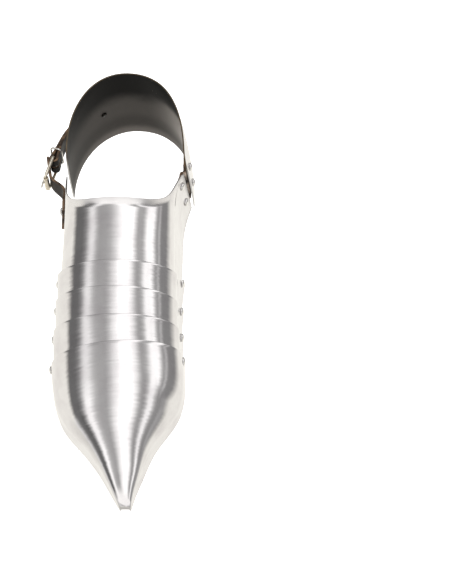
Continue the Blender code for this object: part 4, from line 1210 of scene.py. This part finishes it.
roller_half = frame_half_rise - BUCKLE_CORNER_RADIUS - FIT
roller_bore = BUCKLE_WIRE + FIT
roller_rows = [(roller_bore, roller_half * s) for s in even(-1.0, 1.0, 6)]
roller_rows += [(roller_bore + ROLLER_EDGE, roller_half), (ROLLER_RADIUS - ROLLER_EDGE, roller_half)]
roller_rows += [(ROLLER_RADIUS - ROLLER_SOFTNESS, roller_half - ROLLER_SOFTNESS)]
roller_rows += [(ROLLER_RADIUS, (roller_half - ROLLER_EDGE) * s) for s in even(1.0, -1.0, 12)]
roller_rows += [(ROLLER_RADIUS - ROLLER_SOFTNESS, ROLLER_SOFTNESS - roller_half)]
roller_rows += [(ROLLER_RADIUS - ROLLER_EDGE, -roller_half), (roller_bore + ROLLER_EDGE, -roller_half)]
work = bmesh.new()
roller_rings = []
for radius, height in roller_rows:
    ring = []
    for i in range(ROLLER_SIDES):
        angle = math.tau * i / ROLLER_SIDES
        from_seam = (math.degrees(angle) - ROLLER_SEAM_ANGLE) / ROLLER_SEAM_WIDTH
        seam = ROLLER_SEAM_DEPTH * math.exp(-from_seam**2) if radius > roller_bore else 0.0
        flat = Vector((math.cos(angle), math.sin(angle), 0.0)) * (radius - seam)
        ring.append(work.verts.new(roller_bar + flat + upright * height + TOE_TIP))
    roller_rings.append(ring)
for a, b in zip(roller_rings, roller_rings[1:] + roller_rings[:1]):
    for i in range(ROLLER_SIDES):
        j = (i + 1) % ROLLER_SIDES
        work.faces.new((a[i], a[j], b[j], b[i])).smooth = True
roller_mesh = finished_mesh(work)
roller_mesh.materials.append(plated_finish("pale_brass", *PALE_BRASS))
link_piece("buckle_roller_skin", roller_mesh, "instep", "roller_metal", "buckle_roller")


# Billet strap: riveted low on the instep plate, it passes under the roller and out over the heel bar,
# where the prong goes through its hole. Black harness leather with raw brown edges.
STRAP = 0.0022
BILLET_FRONT_ALONG = 0.244
BILLET_RIVET_ALONG = 0.258
BILLET_LEAVES_ALONG = 0.276
BILLET_TAIL = 0.0015
ROLLER_SLACK = 0.0016
STRAP_TIP_CORNER = 0.0040
STRAP_STEPS = 16
STRAP_WEAR = 0.8
BILLET_BEND = 0.001
BILLET_CROSSING = 0.42
HOLE_SPAN = slice(24, 44)


def curve_through(points, steps):
    """Points of a smooth curve through the given points, with steps between each two."""
    marks = running(points)
    axes = [Spline(marks, [p[axis] for p in points]) for axis in range(3)]
    result = []
    for low, high in zip(marks, marks[1:]):
        result += [Vector([axis(m) for axis in axes]) for m in even(low, high, steps)[:-1]]
    return result + [points[-1].copy()]


def strap_mesh(lows, highs):
    """A strap from the middle lines of its lower and upper edge, its two ends rounded off."""
    run = running(lows)
    outs = []
    for i in range(len(lows)):
        before = max(i - 1, 0)
        after = min(i + 1, len(lows) - 1)
        ahead = (lows[after] - lows[before]).normalized() + (highs[after] - highs[before]).normalized()
        outs.append((highs[i] - lows[i]).cross(ahead).normalized())

    def half_at(i):
        from_end = min(run[i], run[-1] - run[i])
        inside = max(STRAP_TIP_CORNER - from_end, 0.0)
        return STRAP_WIDTH / 2.0 - STRAP_TIP_CORNER + math.sqrt(max(STRAP_TIP_CORNER**2 - inside**2, 0.0))

    def point_at(i, across, depth):
        middle = (lows[i] + highs[i]) / 2.0
        upward = (highs[i] - lows[i]).normalized()
        return middle + upward * across + outs[i] * (STRAP / 2.0 - depth) + TOE_TIP

    return hide_mesh(point_at, range(len(lows)), half_at, STRAP, STRAP_STEPS)


def cut(mesh, cutter):
    """Cut one mesh out of another; the cutter is thrown away."""
    tool = new_object("work", cutter)
    obj = new_object("work", mesh)
    hole = obj.modifiers.new("hole", "BOOLEAN")
    hole.operation = "DIFFERENCE"
    hole.object = tool
    result = plain_mesh(obj)
    bpy.data.objects.remove(tool)
    return result


def wall_line(along, level, lift):
    girth = girth_at_level(along, level, -1.0)
    return tunnel_point(along, girth) + tunnel_normal(along, girth) * lift


strap_low = STRAP_LEVEL - STRAP_WIDTH / 2.0
strap_high = STRAP_LEVEL + STRAP_WIDTH / 2.0
lie = FIT * 2.0 + STRAP / 2.0
over_fold = BUCKLE_WIRE + FIT * 3.0 + STRAP * 1.5
under_roller = ROLLER_RADIUS + STRAP / 2.0 + ROLLER_SLACK
free_way = [
    roller_bar + buckle_run * BILLET_BEND - buckle_out * under_roller,
    roller_bar + buckle_run * (BUCKLE_LENGTH * BILLET_CROSSING),
    heel_bar + buckle_out * (over_fold + FIT),
    heel_bar + buckle_run * BILLET_TAIL + buckle_out * (over_fold + FIT * 3.0),
]
lines = []
for level in (strap_low, strap_high):
    points = [wall_line(along, level, lie) for along in even(BILLET_FRONT_ALONG, BILLET_LEAVES_ALONG, 3)]
    points += [Vector((p.x, p.y, level)) for p in free_way]
    lines.append(curve_through(points, 14))
billet_mesh = strap_mesh(*lines)
billet_mesh.materials.append(leather_finish("strap_black", STRAP_WIDTH / 2.0, STRAP_WEAR))
billet_mesh.materials.append(raw_hide)
hole_path = prong_path[HOLE_SPAN]
hole_line = path_mesh(hole_path, [PRONG_RADIUS + FIT] * len(hole_path), False)
prong_hole = run_tree(wire_tree, hole_line, raw_hide, WIRE_SIZES)
link_piece("billet_strap_skin", cut(billet_mesh, prong_hole), "instep", "leather", "billet_strap")


# Buckle strap: riveted to the cup, it runs forward to the heel bar, folds round it and comes back over
# itself to the same rivet, with a slot for the prong in the fold.
ANCHOR_ANGLE = 20.0
ANCHOR_RIVET_ANGLE = 29.0
ANCHOR_LEAVES_ANGLE = 38.0
SWAY_SIDE = -0.0600
SWAY_ALONG = 0.3390
SWAY_TURN = 28.0
FOLD_LENGTH = 0.0085
FOLD_CLOSING = 0.55
SLOT_REACH = 0.0050


def cup_line(turn, level, lift):
    return cup_plan(turn, 0.0, level) + cup_normal(turn, 0.0, level) * lift


near_layer = FIT * 2.0 + STRAP / 2.0
far_layer = near_layer + STRAP + FIT
fold = BUCKLE_WIRE + FIT * 2.0 + STRAP / 2.0
sway = Vector((math.cos(math.radians(SWAY_TURN)), math.sin(math.radians(SWAY_TURN)), 0.0))
lines = []
for level in (strap_low, strap_high):
    anchors = (ANCHOR_ANGLE, ANCHOR_RIVET_ANGLE, ANCHOR_LEAVES_ANGLE)
    inner_points = [cup_line(-turn, level, near_layer) for turn in anchors]
    outer_points = [cup_line(-turn, level, far_layer) for turn in reversed(anchors)]
    middle = Vector((SWAY_SIDE, SWAY_ALONG, level))
    bar = Vector((heel_bar.x, heel_bar.y, level))
    inner_points.append(middle + sway * ((STRAP + FIT) / 2.0))
    inner_points.append(bar + buckle_run * FOLD_LENGTH - buckle_out * (fold * FOLD_CLOSING))
    outer_points.insert(0, middle - sway * ((STRAP + FIT) / 2.0))
    outer_points.insert(0, bar + buckle_run * FOLD_LENGTH + buckle_out * (fold * FOLD_CLOSING))
    bend = []
    for angle in even(-90.0, 90.0, 24):
        a = math.radians(angle)
        bend.append(bar - buckle_run * (math.cos(a) * fold) + buckle_out * (math.sin(a) * fold))
    approach = curve_through(inner_points + bend[:1], 12)
    leave = curve_through(bend[-1:] + outer_points, 12)
    lines.append(approach + bend[1:-1] + leave)
strap_skin = strap_mesh(*lines)
strap_skin.materials.append(leather_finish("fold_black", STRAP_WIDTH / 2.0, STRAP_WEAR))
strap_skin.materials.append(raw_hide)
slot_half = PRONG_RADIUS + FIT
slot = bmesh.new()
bmesh.ops.create_cube(slot, size=1.0)
bmesh.ops.scale(slot, vec=(SLOT_REACH * 2.0, SLOT_REACH * 2.0, slot_half * 2.0), verts=slot.verts)
bmesh.ops.translate(slot, vec=heel_bar + TOE_TIP, verts=slot.verts)
slot_mesh = bpy.data.meshes.new("slot")
slot.to_mesh(slot_mesh)
slot.free()
slot_mesh.materials.append(raw_hide)
link_piece("buckle_strap_skin", cut(strap_skin, slot_mesh), "instep", "leather", "buckle_strap")


# Keeper: a thin loop of wire round the doubled strap, which holds the billet's end down.
KEEPER_WIRE = 0.0008
KEEPER_ROOM = 0.0018
KEEPER_SLACK = 0.0005
KEEPER_CORNER_RADIUS = 0.0034
keeper_half_rise = STRAP_WIDTH / 2.0 + FIT + KEEPER_WIRE + KEEPER_SLACK
keeper_half_run = fold * FOLD_CLOSING + STRAP / 2.0 + KEEPER_WIRE + KEEPER_SLACK + KEEPER_ROOM / 2.0
keeper_centre = heel_bar + buckle_run * FOLD_LENGTH + buckle_out * (KEEPER_ROOM / 2.0)
keeper_path = rounded_loop(
    keeper_centre, buckle_out, upright, keeper_half_run, keeper_half_rise, KEEPER_CORNER_RADIUS
)
wire_piece("keeper_loop", keeper_path, [KEEPER_WIRE] * len(keeper_path), True, bright_nickel)


# Rivets: domed steel heads peened over at the back. Each pair is a lame's pivot; four hold the hinge
# leather, one the billet and one the buckle strap. No two heads are quite alike.
RIVET_SIZES = {
    "Head Radius": 0.0036,
    "Head Height": 0.0019,
    "Shank Radius": 0.0015,
    "Tail Radius": 0.0027,
    "Tail Height": 0.0009,
    "Standing": 0.0003,
    "Unevenness": 0.04,
}
HEAD_ROWS = (
    (0.0, 1.0), (0.22, 0.98), (0.44, 0.90), (0.64, 0.76),
    (0.80, 0.58), (0.92, 0.37), (0.98, 0.18), (1.0, 0.0),
)
TAIL_TAPER = 0.8
RIVET_SIDES = 28
RIVET_SEED = 7
RIVET_STEEL = ((0.86, 0.85, 0.84, 1.0), (0.60, 0.57, 0.53, 1.0), 0.3)
RIVET_WELD = 0.000001
HINGE_INSET_ALONG = 0.0085
HINGE_INSET_UP = 0.009

rivet_tree, add, given, size = new_tree("domed_rivets", RIVET_SIZES)
zero = size["Standing"] * 0.0
rows = [(size["Head Radius"] * r, size["Head Height"] * h + size["Standing"], 0.0) for r, h in HEAD_ROWS]
rows.append((size["Shank Radius"], size["Standing"], 0.0))
rows.append((size["Shank Radius"], zero - size["Standing"], 1.0))
rows.append((size["Tail Radius"], zero - size["Standing"], 1.0))
rows.append((size["Tail Radius"] * TAIL_TAPER, zero - size["Tail Height"] - size["Standing"], 1.0))
rows.append((zero, zero - size["Tail Height"] - size["Standing"], 1.0))
grid = add("GeometryNodeMeshGrid", Size_X=1.0, Size_Y=1.0, Vertices_X=RIVET_SIDES + 1, Vertices_Y=len(rows))
marks = add("ShaderNodeSeparateXYZ", _0=add("GeometryNodeInputPosition"))
turned = (Amount(add, marks.outputs[0]) + 0.5) * math.tau
row = (Amount(add, marks.outputs[1]) + 0.5) * float(len(rows) - 1)
row_number = row.calc("ROUND")


def row_value(column):
    """The value that a column of the rows has at the current row."""
    choice = add("GeometryNodeIndexSwitch", {"data_type": "FLOAT"})
    while len(choice.index_switch_items) < len(rows):
        choice.index_switch_items.new()
    give(rivet_tree, choice.inputs[0], row_number)
    for number, values in enumerate(rows, 1):
        give(rivet_tree, choice.inputs[number], values[column])
    return Amount(add, choice.outputs[0])


def carried(name, data_type="FLOAT"):
    """A value that the spots or the heads carry with them."""
    return add("GeometryNodeInputNamedAttribute", {"data_type": data_type}, Name=name)


reach = row_value(0)
across, along = reach * turned.calc("COSINE"), reach * turned.calc("SINE")
place = add("ShaderNodeCombineXYZ", _0=across, _1=along, _2=row_value(1))
per_point = {"data_type": "FLOAT", "domain": "POINT"}
tail = add("GeometryNodeStoreNamedAttribute", per_point, Geometry=grid, Name="tail", Value=row_value(2))
shaped = add("GeometryNodeSetPosition", Geometry=tail, Position=place)
closed = add("GeometryNodeMergeByDistance", Geometry=shaped, Distance=RIVET_WELD)
facing = carried("out", "FLOAT_VECTOR")
stand = add("FunctionNodeAlignRotationToVector", {"axis": "Z"}, Vector=facing)
odd = add("FunctionNodeRandomValue", {"data_type": "FLOAT_VECTOR"}, Seed=RIVET_SEED)
odd.inputs[0].default_value = (-1.0, -1.0, -1.0)
odd.inputs[1].default_value = (1.0, 1.0, 0.0)
uneven = add("ShaderNodeVectorMath", {"operation": "SCALE"}, _0=odd, Scale=size["Unevenness"])
swell = add("ShaderNodeVectorMath", {"operation": "ADD"}, _0=uneven, _1=(1.0, 1.0, 1.0))
copies = add(
    "GeometryNodeInstanceOnPoints", Points=given["Geometry"], Instance=closed, Rotation=stand, Scale=swell
)
single = add("GeometryNodeRealizeInstances", Geometry=copies)
back_out = worked(add, "MULTIPLY", worked(add, "MULTIPLY", carried("grip"), carried("tail")), -1.0)
inward = add("ShaderNodeVectorMath", {"operation": "SCALE"}, _0=facing, Scale=back_out)
end_tree(add, add("GeometryNodeSetPosition", Geometry=single, Offset=inward), given["Finish"])


def plate_normal(plate, along, girth):
    """The unit normal of a plate's outer face, with the rise of its edges."""

    def between(along_step, girth_step):
        high = plate_point(plate, along + along_step, girth + girth_step, 0.0)
        return high - plate_point(plate, along - along_step, girth - girth_step, 0.0)

    return between(0.0, PROBE_GIRTH).cross(between(PROBE_LENGTH, 0.0)).normalized()


def wall_rivet(plate, along, level, side, grip):
    girth = girth_at_level(along, level, side)
    return plate_point(plate, along, girth, 0.0) - TOE_TIP, plate_normal(plate, along, girth), grip


def cup_rivet(turn, leg, level, lift, grip):
    out = cup_normal(turn, leg, level)
    return cup_plan(turn, leg, level) + out * lift, out, grip


hinge_grip = STEEL + HINGE_SLACK + LEATHER
low_level = HINGE_BOTTOM + HINGE_INSET_UP
high_level = HINGE_TOP - HINGE_INSET_UP
rear_turn, rear_leg = cup_turn_at(HINGE_REAR_ALONG - HINGE_INSET_ALONG, 1.0)
front_row = HINGE_FRONT_ALONG + HINGE_INSET_ALONG
rivet_groups = {
    "instep": [
        (wall_rivet(instep, front_row, low_level, 1.0, hinge_grip), "hinge_rivet_1"),
        (wall_rivet(instep, front_row, high_level, 1.0, hinge_grip), "hinge_rivet_2"),
        (cup_rivet(rear_turn, rear_leg, low_level, 0.0, hinge_grip), "hinge_rivet_3"),
        (cup_rivet(rear_turn, rear_leg, high_level, 0.0, hinge_grip), "hinge_rivet_4"),
    ]
}
billet_girth = girth_at_level(BILLET_RIVET_ALONG, STRAP_LEVEL, -1.0)
billet_place = wall_line(BILLET_RIVET_ALONG, STRAP_LEVEL, lie + STRAP / 2.0)
billet_rivet = (billet_place, tunnel_normal(BILLET_RIVET_ALONG, billet_girth), FIT * 2.0 + STRAP + STEEL)
anchor_lift = far_layer + STRAP / 2.0
rivet_groups["instep"].append((billet_rivet, "billet_rivet"))
anchor_rivet = cup_rivet(-ANCHOR_RIVET_ANGLE, 0.0, STRAP_LEVEL, anchor_lift, anchor_lift + STEEL)
rivet_groups["instep"].append((anchor_rivet, "buckle_strap_rivet"))
hoops = [instep] + lames + [toe]
for number, joint in enumerate(JOINTS, 1):
    body = "instep" if number == 1 else f"lame_{number - 1}"
    for share, side, word in ((joint.outer_rivet, -1.0, "outer"), (joint.inner_rivet, 1.0, "inner")):
        along = share * FOOT_LENGTH
        girth = girth_at_level(along, RIVET_LEVEL, side)
        gap = hoops[number].lift(along, girth) - hoops[number - 1].lift(along, girth)
        spot = wall_rivet(hoops[number], along, RIVET_LEVEL, side, gap + STEEL)
        rivet_groups.setdefault(body, []).append((spot, f"pivot_rivet_{number}_{word}"))

rivet_steel = plated_finish("rivet_steel", *RIVET_STEEL, "tail")
for body, rivets in rivet_groups.items():
    spots = bpy.data.meshes.new(f"{body}_rivet_spots")
    spots.from_pydata([spot[0] + TOE_TIP for spot, node in rivets], [], [])
    outs = [value for spot, node in rivets for value in spot[1]]
    spots.attributes.new("out", "FLOAT_VECTOR", "POINT").data.foreach_set("vector", outs)
    grips = [spot[2] for spot, node in rivets]
    spots.attributes.new("grip", "FLOAT", "POINT").data.foreach_set("value", grips)
    rivet_mesh = run_tree(rivet_tree, spots, rivet_steel, RIVET_SIZES)
    link_piece(f"{body}_rivets", rivet_mesh, body, "steel", *[node for spot, node in rivets])
